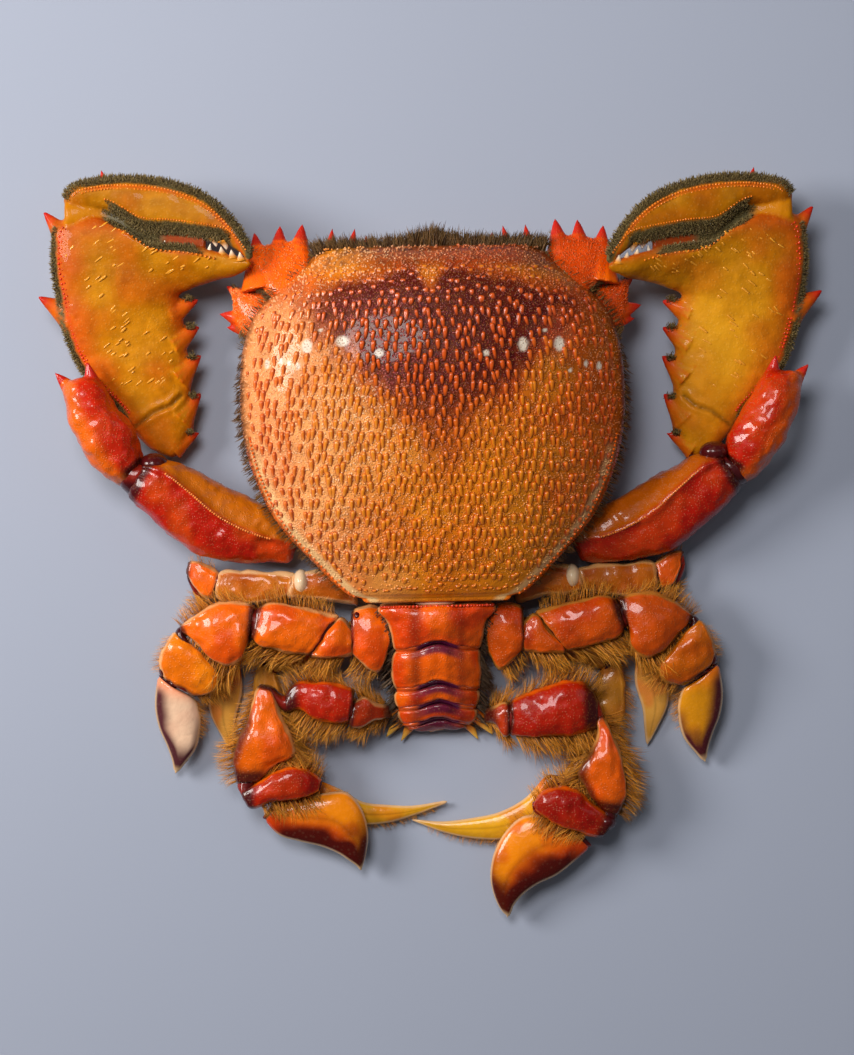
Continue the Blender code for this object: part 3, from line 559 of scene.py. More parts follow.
class CrabLimbSettings(bpy.types.PropertyGroup):
    """Colours of the claws, legs and tail."""

    ochre_color: FloatVectorProperty(
        name="Ochre",
        description="Faces of the wide claws",
        subtype="COLOR",
        default=OCHRE,
        min=0.0, max=1.0,
    )
    arm_color: FloatVectorProperty(
        name="Arm red",
        description="Red of the arms and wrists",
        subtype="COLOR",
        default=ARM_RED,
        min=0.0, max=1.0,
    )
    leg_color: FloatVectorProperty(
        name="Leg orange",
        description="Orange of the legs",
        subtype="COLOR",
        default=LEG_ORANGE,
        min=0.0, max=1.0,
    )
    tail_color: FloatVectorProperty(
        name="Tail red",
        description="Red of the tail plates",
        subtype="COLOR",
        default=TAIL_RED,
        min=0.0, max=1.0,
    )
    fine_step: FloatProperty(
        name="Fine step",
        description="Distance between cross sections of a limb plate",
        default=0.8 * MM,
        unit="LENGTH",
    )


class CrabBristleSettings(bpy.types.PropertyGroup):
    """Sizes and colours of the bristles."""

    leg_length: FloatProperty(
        name="Leg bristles",
        description="Length of the long bristles on the legs",
        default=12.0 * MM,
        unit="LENGTH",
    )
    rim_length: FloatProperty(
        name="Rim bristles",
        description="Length of the bristles round the shell",
        default=4.8 * MM,
        unit="LENGTH",
    )
    felt_length: FloatProperty(
        name="Felt pile", description="Length of the felt on the claws", default=1.1 * MM, unit="LENGTH"
    )
    density: FloatProperty(name="Density", description="Bristles for each millimetre of edge", default=8.0)
    gold_color: FloatVectorProperty(
        name="Gold",
        description="Colour of the leg bristles",
        subtype="COLOR",
        default=BRISTLE_GOLD,
        min=0.0, max=1.0,
    )
    brown_color: FloatVectorProperty(
        name="Brown",
        description="Colour of the darker bristles",
        subtype="COLOR",
        default=BRISTLE_BROWN,
        min=0.0, max=1.0,
    )
    seed: IntProperty(name="Seed", description="Seed of the bristles' random draws", default=11)


class CrabStageSettings(bpy.types.PropertyGroup):
    """Camera, lights and floor."""

    camera_height: FloatProperty(
        name="Camera height",
        description="Height of the camera above the floor",
        default=0.983,
        unit="LENGTH",
    )
    camera_roll: FloatProperty(
        name="Camera roll",
        description="Turn of the camera about its view",
        default=math.radians(-1.25),
        subtype="ANGLE",
    )
    key_power: FloatProperty(
        name="Key light", description="Power of the large soft light", default=5.2, unit="POWER"
    )
    side_power: FloatProperty(
        name="Side light", description="Power of the light from the left", default=8.6, unit="POWER"
    )
    fill_power: FloatProperty(
        name="Fill light", description="Power of the second soft light", default=0.3, unit="POWER"
    )
    sky: FloatProperty(name="Sky", description="Strength of the even light from all sides", default=0.09)
    floor_color: FloatVectorProperty(
        name="Floor",
        description="Colour of the pale floor",
        subtype="COLOR",
        default=(0.37, 0.41, 0.51),
        min=0.0, max=1.0,
    )


def smooth(low, high, value):
    """A soft step from 0 at low to 1 at high; falling where low is the larger."""
    share = np.clip((value - low) / (high - low), 0.0, 1.0)
    return share * share * (3.0 - 2.0 * share)


def hump(value, width, power=2):
    """1 where the value is 0, falling away softly over the width."""
    return np.exp(-((value / width) ** power))


def blend(first, second, share):
    """Colours mixed point by point."""
    first = np.asarray(first, float)
    second = np.asarray(second, float)
    share = np.asarray(share, float)[..., None]
    return first + (second - first) * share


def cloud(points, size, seed=0):
    """Soft random values from 0 to 1 that change over the given size in millimetres."""
    scaled = np.asarray(points, float) / size + 100.0
    cell = np.floor(scaled).astype(np.int64)
    part = scaled - cell
    part = part * part * (3.0 - 2.0 * part)
    total = np.zeros(len(scaled))
    for dx in (0, 1):
        for dy in (0, 1):
            for dz in (0, 1):
                corner = cell + (dx, dy, dz)
                mixed = corner[:, 0] * 374761393 + corner[:, 1] * 668265263
                mixed = mixed + corner[:, 2] * 2147483647 + seed * 1442695041
                mixed = (mixed ^ (mixed >> 13)) * 1274126177
                value = ((mixed ^ (mixed >> 16)) & 0xFFFF) / 65535.0
                weight = np.abs(1 - np.array((dx, dy, dz)) - part)
                total += value * (weight[:, 0] * weight[:, 1] * weight[:, 2])
    return total


def between(rows, count):
    """Rows spread evenly along a plate, on a smooth curve through the given ones, and its length."""
    rows = np.array(rows, float)
    middle = (rows[:, 0:2] + rows[:, 2:4]) / 2
    along = np.concatenate([[0.0], np.cumsum(np.linalg.norm(np.diff(middle, axis=0), axis=1))])
    steps = np.diff(along)[:, None]
    slopes = np.diff(rows, axis=0) / steps
    bends = np.empty_like(rows)
    bends[0] = slopes[0]
    bends[-1] = slopes[-1]
    bends[1:-1] = (slopes[:-1] * steps[1:] + slopes[1:] * steps[:-1]) / (steps[:-1] + steps[1:])
    wanted = np.linspace(0.0, along[-1], count)
    index = np.clip(np.searchsorted(along, wanted, side="right") - 1, 0, len(along) - 2)
    width = (along[index + 1] - along[index])[:, None]
    t = (wanted - along[index])[:, None] / width
    found = (
        (2 * t**3 - 3 * t**2 + 1) * rows[index]
        + (t**3 - 2 * t**2 + t) * width * bends[index]
        + (3 * t**2 - 2 * t**3) * rows[index + 1]
        + (t**3 - t**2) * width * bends[index + 1]
    )
    return found, along[-1]


def longer(rows, reach):
    """The same ribs with the first and last moved outwards along the plate."""
    rows = [list(row) for row in rows]
    for end, inner in ((0, 1), (-1, -2)):
        last, before = rows[end], rows[inner]
        way = np.array([last[at] + last[at + 2] - before[at] - before[at + 2] for at in (0, 1)])
        way = way / np.linalg.norm(way) * reach
        for index in (0, 2):
            rows[end][index] += way[0]
            rows[end][index + 1] += way[1]
    return rows


def mirrored(rows, back=0.0):
    """The ribs of the other side's plate, held further back by a distance."""
    out = []
    for row in rows:
        row = list(row)
        row[0] = -row[0]
        row[1] -= back
        if len(row) == 7:
            row[2] = -row[2]
            row[3] -= back
        out.append(tuple(row))
    return tuple(out)


def mirrored_spines(rows, back=0.0):
    """The other side's spines, held further back by a distance."""
    return tuple((-x, y - back, z, -tx, ty - back, tz, r) for x, y, z, tx, ty, tz, r in rows)


def same(rows, back=0.0):
    """The left side's rows as they are, for use in place of the two above."""
    return rows


def ring_quads(rings, sides):
    """Faces between rings of points that lie one after another."""
    quads = []
    for first in range(0, (rings - 1) * sides, sides):
        second = first + sides
        for step in range(sides):
            after = (step + 1) % sides
            quads.append((first + step, first + after, second + after, second + step))
    return quads


def closed_rings(rings, sides):
    """Faces between rings, and fans that close both ends with the two points after the rings."""
    last = (rings - 1) * sides
    fans = []
    for step in range(sides):
        after = (step + 1) % sides
        fans.append((rings * sides, after, step))
        fans.append((rings * sides + 1, last + step, last + after))
    return ring_quads(rings, sides), fans


def ribs_at(ribs, at, side):
    """Ribs at places along a plate, the points of their near and far edges, and the rib before each."""
    index = np.clip(at.astype(int), 0, len(ribs) - 2)
    part = (at - index)[:, None]
    picked = ribs[index] * (1 - part) + ribs[index + 1] * part
    edges = picked[:, 0:2], picked[:, 2:4]
    near, far = edges if side == "A" else edges[::-1]
    return picked, near, far, index


def new_object(name, points, faces):
    """A linked object with a mesh of its own, from points in metres."""
    mesh = bpy.data.meshes.new(name)
    mesh.from_pydata(points, [], faces)
    obj = bpy.data.objects.new(name, mesh)
    bpy.context.scene.collection.objects.link(obj)
    return obj


def turn_outwards(mesh):
    """Turns all faces of closed shapes outwards."""
    made = bmesh.new()
    made.from_mesh(mesh)
    bmesh.ops.recalc_face_normals(made, faces=made.faces)
    made.to_mesh(mesh)
    made.free()


def store(mesh, name, kind, field, values):
    """Writes one value for each point of a mesh."""
    data = mesh.attributes.new(name, kind, "POINT").data
    data.foreach_set(field, np.asarray(values, np.float32).ravel())


# Where the rings that round a plate's end lie, as shares of the rounded stretch
END_SHARES = (0.0, 0.08, 0.25, 0.5, 0.75)


class Plate:
    """One shell plate laid over its ribs, with where each point lies along and across it."""

    def __init__(self, rows, step=0.8, top=26, bottom=12, edge=1.3, round_power=0.85, floor=None):
        _, length = between(rows, 3)
        count = max(6, int(round(length / step)))
        ribs, self.length = between(rows, count)
        shares = list(np.linspace(0.0, 1.0, count))
        rings, places = self.rounded(ribs, shares, edge)
        over = np.linspace(0, math.pi, top, endpoint=False)
        under = np.linspace(math.pi, 2 * math.pi, bottom, endpoint=False)
        turn = np.concatenate([over, under])
        self.around = len(turn)
        across = 0.5 - 0.5 * np.sign(np.cos(turn)) * np.abs(np.cos(turn)) ** round_power
        lift = np.abs(np.sin(turn)) ** round_power
        sign = np.where(np.sin(turn) >= -1e-9, 1.0, -1.0)
        rings = np.array(rings)
        span = rings[:, 2:4] - rings[:, 0:2]
        flat = rings[:, None, 0:2] + span[:, None, :] * across[None, :, None]
        rise = np.where(sign > 0, rings[:, 5:6], -rings[:, 6:7])
        height = rings[:, 4:5] + rise * lift[None, :]
        if floor is not None:
            height = np.maximum(height, floor)
        self.rings = len(rings)
        self.grid = np.concatenate([flat, height[:, :, None]], axis=2)
        self.u = np.repeat(np.array(places)[:, None], self.around, axis=1)
        self.v = np.repeat(across[None, :], self.rings, axis=0)
        self.top = np.repeat((sign * lift)[None, :], self.rings, axis=0)
        wide = np.linalg.norm(span, axis=1)[:, None]
        self.edge_mm = np.minimum(self.v, 1 - self.v) * wide
        self.from_start = self.u * self.length
        self.from_end = (1 - self.u) * self.length

    def rounded(self, ribs, shares, edge):
        """Extra rings at both ends that round the ends over."""
        rings = []
        places = []
        for end, inner in ((0, 1), (-1, -2)):
            rib = ribs[end]
            span = rib[2:4] - rib[0:2]
            wide = max(np.linalg.norm(span), 1e-6)
            middle = (rib[0:2] + rib[2:4]) / 2
            other = (ribs[inner][0:2] + ribs[inner][2:4]) / 2
            inward = (other - middle) / max(np.linalg.norm(other - middle), 1e-6)
            ends = []
            for share in END_SHARES:
                full = math.sqrt(max(0.0, 1 - (1 - share) ** 2))
                pull = min(edge * (1 - full) / wide, 0.3)
                ring = rib.copy()
                shift = inward * edge * share * 0.98
                ring[0:2] = rib[0:2] + span * pull + shift
                ring[2:4] = rib[2:4] - span * pull + shift
                ring[5:7] = rib[5:7] * (0.3 + 0.7 * full)
                ends.append(ring)
            near = edge / max(self.length, 1e-6)
            spots = [near * share for share in END_SHARES]
            if end == 0:
                rings += ends
                places += spots
                step = max(np.linalg.norm(other - middle), 1e-6)
                skip = max(1, int(math.ceil(edge / step)))
                rings += list(ribs[skip : len(ribs) - skip])
                places += shares[skip : len(ribs) - skip]
            else:
                rings += ends[::-1]
                places += [1 - spot for spot in spots[::-1]]
        return rings, places

    def points(self):
        """Points of the grid, then the middle of its first and last ring."""
        flat = self.grid.reshape(-1, 3)
        return np.vstack([flat, self.grid[0].mean(axis=0), self.grid[-1].mean(axis=0)])

    def faces(self):
        return closed_rings(self.rings, self.around)

    def warp(self, seed, amounts):
        """Pushes the surface in and out by soft noise: size and depth in millimetres."""
        normals = self.normals()
        flat = self.grid.reshape(-1, 3)
        push = np.zeros(len(flat))
        for number, (size, depth) in enumerate(amounts):
            push += (cloud(flat, size, seed + number) - 0.5) * depth
        self.grid = self.grid + normals * push.reshape(self.u.shape)[:, :, None]
        return self

    def rim(self, height, inset=0.9, width=0.5):
        """Raises a line along the border of the upper face."""
        away = np.minimum(self.edge_mm, np.minimum(self.from_start, self.from_end))
        self.grid[:, :, 2] += height * hump(away - inset, width) * smooth(0.0, 0.3, self.top)
        return self

    def normals(self):
        """Directions out of the plate for each grid point."""
        along = np.gradient(self.grid, axis=0)
        across = np.roll(self.grid, -1, axis=1) - np.roll(self.grid, 1, axis=1)
        found = np.cross(along, across)
        found /= np.maximum(np.linalg.norm(found, axis=2, keepdims=True), 1e-9)
        outward = self.grid - self.grid.mean(axis=1, keepdims=True)
        facing = np.sign((found * outward).sum(axis=(0, 1, 2)))
        return found * (facing if facing else 1.0)


class Heap:
    """Meshes gathered into one piece: points, faces and a colour with its grain for each point."""

    def __init__(self):
        self.points = []
        self.faces = []
        self.tints = []
        self.count = 0

    def add(self, points, faces, tint):
        points = np.asarray(points, float)
        for group in faces if isinstance(faces, tuple) else (faces,):
            self.faces += [[index + self.count for index in face] for face in group]
        self.points.append(points)
        tint = np.asarray(tint, float)
        if tint.ndim == 1:
            tint = np.repeat(tint[None, :], len(points), axis=0)
        if tint.shape[1] == 3:
            tint = np.column_stack([tint, np.full(len(tint), 0.4)])
        self.tints.append(tint)
        self.count += len(points)

    def add_plate(self, plate, tint, grain=0.4):
        """A plate with a colour for each grid point, or one colour for all."""
        tint = np.asarray(tint, float)
        if tint.ndim == 1:
            tint = np.broadcast_to(tint, (*plate.u.shape, 3))
        grain = np.broadcast_to(np.asarray(grain, float), plate.u.shape)
        full = np.concatenate([tint, grain[:, :, None]], axis=2)
        flat = full.reshape(-1, 4)
        ends = np.vstack([full[0].mean(axis=0), full[-1].mean(axis=0)])
        self.add(plate.points(), plate.faces(), np.vstack([flat, ends]))

    def absorb(self, other):
        """Takes over another heap's meshes."""
        self.add(np.concatenate(other.points), (other.faces,), np.concatenate(other.tints))

    def fused(self, voxel, passes):
        """One closed skin over everything so far, with its colours taken from the nearest old points."""
        points = np.concatenate(self.points)
        tints = np.concatenate(self.tints)
        obj = new_object("rough", (points * MM).tolist(), self.faces)
        mesh = obj.data
        remesh = obj.modifiers.new("remesh", "REMESH")
        remesh.mode = "VOXEL"
        remesh.voxel_size = voxel * MM
        soften = obj.modifiers.new("soften", "SMOOTH")
        soften.iterations = passes
        soften.factor = 0.5
        graph = bpy.context.evaluated_depsgraph_get()
        done = bpy.data.meshes.new_from_object(obj.evaluated_get(graph))
        found = np.empty(len(done.vertices) * 3, np.float32)
        done.vertices.foreach_get("co", found)
        found = found.reshape(-1, 3) / MM
        faces = [tuple(face.vertices) for face in done.polygons]
        bpy.data.objects.remove(obj)
        bpy.data.meshes.remove(mesh)
        bpy.data.meshes.remove(done)
        tree = KDTree(len(points))
        for index, point in enumerate(points):
            tree.insert(point, index)
        tree.balance()
        near = np.array([[(item[1], item[2]) for item in tree.find_n(point, 3)] for point in found])
        index = near[:, :, 0].astype(int)
        weight = 1.0 / (near[:, :, 1] + 0.05)
        mixed = (tints[index] * weight[:, :, None]).sum(axis=1) / weight.sum(axis=1)[:, None]
        self.points = [found]
        self.tints = [mixed]
        self.faces = faces
        self.count = len(found)
        return self

    def build(self, name, material, slot, nodes=()):
        obj = new_object(name, (np.concatenate(self.points) * MM).tolist(), self.faces)
        turn_outwards(obj.data)
        color = obj.data.color_attributes.new("tint", "FLOAT_COLOR", "POINT")
        color.data.foreach_set("color", np.concatenate(self.tints).astype(np.float32).ravel())
        settle(obj, material, nodes)
        return obj


def settle(obj, material, nodes=()):
    """Finish, smooth shading, the link to the root and the hiding of the solid parts it replaces, for one
    piece.
    """
    obj.data.materials.clear()
    obj.data.materials.append(material)
    obj.data.polygons.foreach_set("use_smooth", [True] * len(obj.data.polygons))
    obj.data.update()
    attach(obj, "root")
    if nodes:
        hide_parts(*nodes)


def horn(row, sides=12, rings=9, flare=0.35):
    """A spine with a flared foot and a fine tip: its points, its faces and how far up each point lies."""
    root = np.array(row[0:3], float)
    tip = np.array(row[3:6], float)
    axis = (tip - root) / np.linalg.norm(tip - root)
    side = np.cross(axis, (0.0, 0.0, 1.0))
    side /= np.linalg.norm(side)
    up = np.cross(side, axis)
    points = []
    shares = []
    for ring in range(rings):
        share = ring / rings
        size = row[6] * ((1 - share) ** 0.85 * (1.0 - 0.12 * share) + flare * math.exp(-share / 0.13))
        for step in range(sides):
            angle = 2 * math.pi * step / sides
            around = side * math.cos(angle) + up * math.sin(angle) * 0.8
            points.append(root + (tip - root) * share + around * size)
            shares.append(share)
    points += [root, tip]
    shares += [0.0, 1.0]
    return np.array(points), closed_rings(rings, sides), np.array(shares)


def add_horns(heap, rows, foot, tip, low=0.1, **shape):
    """Adds spines that change from the colour of the foot to that of the tip."""
    for row in rows:
        points, faces, shares = horn(row, **shape)
        tint = blend(foot, tip, smooth(low, 0.9, shares))
        heap.add(points, faces, np.column_stack([tint, np.full(len(tint), 0.25)]))


class Value:
    """One output of a shader node, so that shader maths reads as plain Python."""

    def __init__(self, graph, socket):
        self.graph = graph
        self.socket = socket

    def _with(self, operation, other, swapped=False):
        pair = [other, self] if swapped else [self, other]
        return self.graph.node("ShaderNodeMath", {"operation": operation}, {0: pair[0], 1: pair[1]})

    def __add__(self, other):
        return self._with("ADD", other)

    __radd__ = __add__

    def __sub__(self, other):
        return self._with("SUBTRACT", other)

    def __rsub__(self, other):
        return self._with("SUBTRACT", other, True)

    def __mul__(self, other):
        return self._with("MULTIPLY", other)

    __rmul__ = __mul__


class Finish:
    """A material under construction, with one method that adds any node."""

    def __init__(self, name):
        self.material = bpy.data.materials.new(name)
        self.material.use_nodes = True
        self.tree = self.material.node_tree
        self.shader = self.tree.nodes["Principled BSDF"]

    def node(self, kind, settings=None, inputs=None, output=0):
        """A new node of a kind, with its settings and inputs, as one of its outputs."""
        made = self.tree.nodes.new(kind)
        for key, value in (settings or {}).items():
            setattr(made, key, value)
        for key, value in (inputs or {}).items():
            socket = made.inputs[key]
            if isinstance(value, Value):
                self.tree.links.new(value.socket, socket)
            else:
                socket.default_value = value
        return Value(self, made.outputs[output])

    def noise(self, place, scale, detail, roughness=0.6):
        inputs = {"Vector": place, "Scale": scale, "Detail": detail, "Roughness": roughness}
        return self.node("ShaderNodeTexNoise", None, inputs)

    def attribute(self, name, output):
        return self.node("ShaderNodeAttribute", {"attribute_name": name}, output=output)

    def mix(self, first, second, share, how="MIX"):
        """Two colours mixed by a share from 0 to 1."""
        first = first if isinstance(first, Value) else (*first, 1.0)
        second = second if isinstance(second, Value) else (*second, 1.0)
        settings = {"data_type": "RGBA", "blend_type": how, "clamp_factor": True}
        return self.node("ShaderNodeMix", settings, {0: share, 6: first, 7: second}, 2)

    def feed(self, name, value):
        """Sets or links one input of the main shader."""
        if isinstance(value, Value):
            self.tree.links.new(value.socket, self.shader.inputs[name])
        else:
            self.shader.inputs[name].default_value = value


PALE_SPECK = (0.9, 0.6, 0.35)


def wet_shell(
    name, grain_mm, grain_height, speck_share, rough, coat, speck=PALE_SPECK, mottle=0.35, shine=0.22
):
    """Cooked shell, wet and glossy, with fine granules where the colour's grain is high."""
    finish = Finish(name)
    place = finish.node("ShaderNodeTexCoord", output="Object")
    tint = finish.attribute("tint", "Color")
    grain = finish.attribute("tint", "Alpha")
    broad = finish.noise(place, 160.0, 4.0)
    fine = finish.noise(place, 1400.0, 3.0)
    cell_inputs = {"Vector": place, "Scale": 1000.0 / grain_mm, "Randomness": 0.9}
    cells = finish.node("ShaderNodeTexVoronoi", {"feature": "F1"}, cell_inputs)
    dot_edge = {0: cells, 1: 0.42, 2: 0.12, 3: 0.0, 4: 1.0}
    dots = finish.node("ShaderNodeMapRange", {"interpolation_type": "SMOOTHSTEP"}, dot_edge)
    shade = finish.node("ShaderNodeMapRange", None, {0: broad, 1: 0.3, 2: 0.7, 3: 0.0, 4: 1.0})
    darker = finish.mix(tint, (0.42, 0.30, 0.24), mottle * (1.0 - shade), "MULTIPLY")
    # Pale specks: partly the granules' own paler colour, partly painted sparkle standing in for the glints
    # of light on them
    specked = finish.mix(darker, speck, dots * grain * speck_share)
    finish.feed("Base Color", specked)
    finish.feed("Roughness", rough + 0.22 * fine - 0.08)
    ripple = finish.noise(place, 520.0, 2.0, 0.5)
    height = dots * grain * grain_height + fine * 0.05 + broad * 0.12 + ripple * 0.22
    normal = finish.node("ShaderNodeBump", None, {"Strength": 0.8, "Distance": 0.001, "Height": height})
    finish.feed("Normal", normal)
    finish.feed("Coat Weight", coat)
    finish.feed("Coat Roughness", 0.05)
    finish.feed("Specular IOR Level", shine)
    return finish.material


def hair_finish(name):
    """Bristles that are darker at the root and paler at the tip."""
    finish = Finish(name)
    tint = finish.attribute("tint", "Color")
    along = finish.attribute("along", "Fac")
    rooted = finish.mix(tint, (0.55, 0.42, 0.28), 1.0 - along, "MULTIPLY")
    finish.feed("Base Color", rooted)
    finish.feed("Roughness", 0.5)
    finish.feed("Specular IOR Level", 0.4)
    return finish.material


def scatter_tree():
    """Geometry Nodes that put one small piece on every point, turned to the point's own directions."""
    tree = bpy.data.node_groups.get("Scatter pieces")
    if tree:
        return tree
    tree = bpy.data.node_groups.new("Scatter pieces", "GeometryNodeTree")
    tree.is_modifier = True
    face = tree.interface
    face.new_socket("Geometry", in_out="INPUT", socket_type="NodeSocketGeometry")
    face.new_socket("Piece", in_out="INPUT", socket_type="NodeSocketObject")
    face.new_socket("Finish", in_out="INPUT", socket_type="NodeSocketMaterial")
    size = face.new_socket("Size", in_out="INPUT", socket_type="NodeSocketFloat")
    size.default_value = 1.0
    face.new_socket("Geometry", in_out="OUTPUT", socket_type="NodeSocketGeometry")
    nodes = tree.nodes
    link = tree.links.new
    start = nodes.new("NodeGroupInput")
    end = nodes.new("NodeGroupOutput")
    info = nodes.new("GeometryNodeObjectInfo")
    link(start.outputs["Piece"], info.inputs["Object"])
    names = {}
    for name in ("out", "aim", "size"):
        names[name] = nodes.new("GeometryNodeInputNamedAttribute")
        names[name].data_type = "FLOAT_VECTOR"
        names[name].inputs["Name"].default_value = name
    upright = nodes.new("FunctionNodeAlignRotationToVector")
    upright.axis = "Z"
    link(names["out"].outputs["Attribute"], upright.inputs["Vector"])
    turned = nodes.new("FunctionNodeAlignRotationToVector")
    turned.axis = "Y"
    turned.pivot_axis = "Z"
    link(upright.outputs["Rotation"], turned.inputs["Rotation"])
    link(names["aim"].outputs["Attribute"], turned.inputs["Vector"])
    scale = nodes.new("ShaderNodeVectorMath")
    scale.operation = "SCALE"
    link(names["size"].outputs["Attribute"], scale.inputs[0])
    link(start.outputs["Size"], scale.inputs["Scale"])
    put = nodes.new("GeometryNodeInstanceOnPoints")
    link(start.outputs["Geometry"], put.inputs["Points"])
    link(info.outputs["Geometry"], put.inputs["Instance"])
    link(turned.outputs["Rotation"], put.inputs["Rotation"])
    link(scale.outputs["Vector"], put.inputs["Scale"])
    real = nodes.new("GeometryNodeRealizeInstances")
    paint = nodes.new("GeometryNodeSetMaterial")
    link(put.outputs["Instances"], real.inputs["Geometry"])
    link(real.outputs["Geometry"], paint.inputs["Geometry"])
    link(start.outputs["Finish"], paint.inputs["Material"])
    link(paint.outputs["Geometry"], end.inputs["Geometry"])
    return tree


def scatter(name, unit, places, outs, aims, sizes, tints, material, slot):
    """One piece made of a small mesh repeated on many points."""
    points, faces, along = unit
    helper = new_object(name + "_unit", points, faces)
    small = helper.data
    turn_outwards(small)
    store(small, "along", "FLOAT", "value", along)
    obj = new_object(name, (np.asarray(places) * MM).tolist(), [])
    mesh = obj.data
    for key, values in (("out", outs), ("aim", aims), ("size", np.asarray(sizes) * MM)):
        store(mesh, key, "FLOAT_VECTOR", "vector", values)
    tints = np.asarray(tints, np.float32)
    if tints.shape[1] == 3:
        tints = np.column_stack([tints, np.full(len(tints), 0.3, np.float32)])
    store(mesh, "tint", "FLOAT_COLOR", "color", tints)
    modifier = obj.modifiers.new("scatter", "NODES")
    modifier.node_group = scatter_tree()
    given = {"Piece": helper, "Finish": material, "Size": 1.0}
    for item in modifier.node_group.interface.items_tree:
        if item.item_type == "SOCKET" and item.in_out == "INPUT" and item.name in given:
            modifier[item.identifier] = given[item.name]
    obj.update_tag()
    bpy.context.view_layer.update()
    graph = bpy.context.evaluated_depsgraph_get()
    done = bpy.data.meshes.new_from_object(obj.evaluated_get(graph))
    obj.modifiers.remove(modifier)
    obj.data = done
    bpy.data.meshes.remove(mesh)
    bpy.data.objects.remove(helper)
    bpy.data.meshes.remove(small)
    done.name = name
    if len(done.polygons) < len(places):
        raise RuntimeError(name + " came out empty")
    spots = np.empty(len(done.vertices) * 3, np.float32)
    done.vertices.foreach_get("co", spots)
    spots[2::3] = np.maximum(spots[2::3], LOWEST)
    done.vertices.foreach_set("co", spots)
    settle(obj, material)
    return obj


def drop_unit():
    """A bump like a long drop along +Y: a low tail, a steep head, and a foot marked -1 for its dark outline
    and painted shade.
    """
    # Distance along, half width, height and mark of each ring
    profile = (
        (-0.50, 0.14, 0.02, 0.0),
        (-0.32, 0.34, 0.30, 0.3),
        (-0.02, 0.44, 0.66, 0.7),
        (0.24, 0.50, 0.96, 1.0),
        (0.38, 0.44, 0.96, 1.0),
        (0.46, 0.34, 0.62, 0.6),
        (0.52, 0.38, 0.10, -1.0),
    )
    sides = 8
    points = []
    along = []
    for y, half, high, mark in profile:
        for step in range(sides):
            angle = 2 * math.pi * step / sides + math.pi / sides
            z = math.sin(angle)
            points.append((math.cos(angle) * half, y, z * high if z > 0 else z * 0.3))
            # Low points round each ring are marked -0.35, so that they take the foot's dark outline and
            # painted shade too
            along.append(mark if z > 0.5 or mark < 0 else -0.35)
    faces = ring_quads(len(profile), sides)
    faces.append(tuple(range(sides)))
    faces.append(tuple((len(profile) - 1) * sides + step for step in range(sides)))
    return points, faces, along


def bead_unit():
    """A low rounded bead on the surface."""
    sides, rings = 7, 4
    points = []
    along = []
    for ring in range(rings):
        angle = -0.5 + (math.pi / 2 + 0.5) * ring / rings
        for step in range(sides):
            turn = 2 * math.pi * step / sides
            wide = math.cos(angle)
            points.append((math.cos(turn) * wide * 0.5, math.sin(turn) * wide * 0.5, math.sin(angle) * 0.5))
            along.append(max(0.0, math.sin(angle)))
    points.append((0.0, 0.0, 0.5))
    along.append(1.0)
    faces = ring_quads(rings, sides)
    for step in range(sides):
        faces.append(((rings - 1) * sides + step, (rings - 1) * sides + (step + 1) % sides, rings * sides))
    faces.append(tuple(range(sides)))
    return points, faces, along


def granule_unit():
    """A small pointed grain, rounded by its shading."""
    sides = 5
    points = [(0.0, 0.0, 0.5)]
    for step in range(sides):
        turn = 2 * math.pi * step / sides
        points.append((math.cos(turn) * 0.5, math.sin(turn) * 0.5, -0.12))
    faces = [(0, step + 1, (step + 1) % sides + 1) for step in range(sides)]
    faces.append(tuple(range(sides, 0, -1)))
    return points, faces, [1.0] + [0.0] * sides


def bristle_unit(thick, bend):
    """A tapered three-sided bristle of length one, bent a little towards +Y."""
    points = []
    along = []
    for share, size in ((0.0, 1.0), (0.4, 0.85), (0.75, 0.5)):
        for step in range(3):
            angle = 2 * math.pi * step / 3
            y = math.sin(angle) * thick * size + bend * share * share
            points.append((math.cos(angle) * thick * size, y, share))
            along.append(share)
    points.append((0.0, bend, 1.0))
    along.append(1.0)
    faces = [(0, 2, 1)] + ring_quads(3, 3)
    for step in range(3):
        faces.append((6 + step, 6 + (step + 1) % 3, 9))
    return points, faces, along


# How far the tips of a tuft are drawn together, and how many strands are dark
TUFT_PULL = 0.62
DARK_SHARE = 0.28
DARK_STRAND = (0.42, 0.34, 0.30)


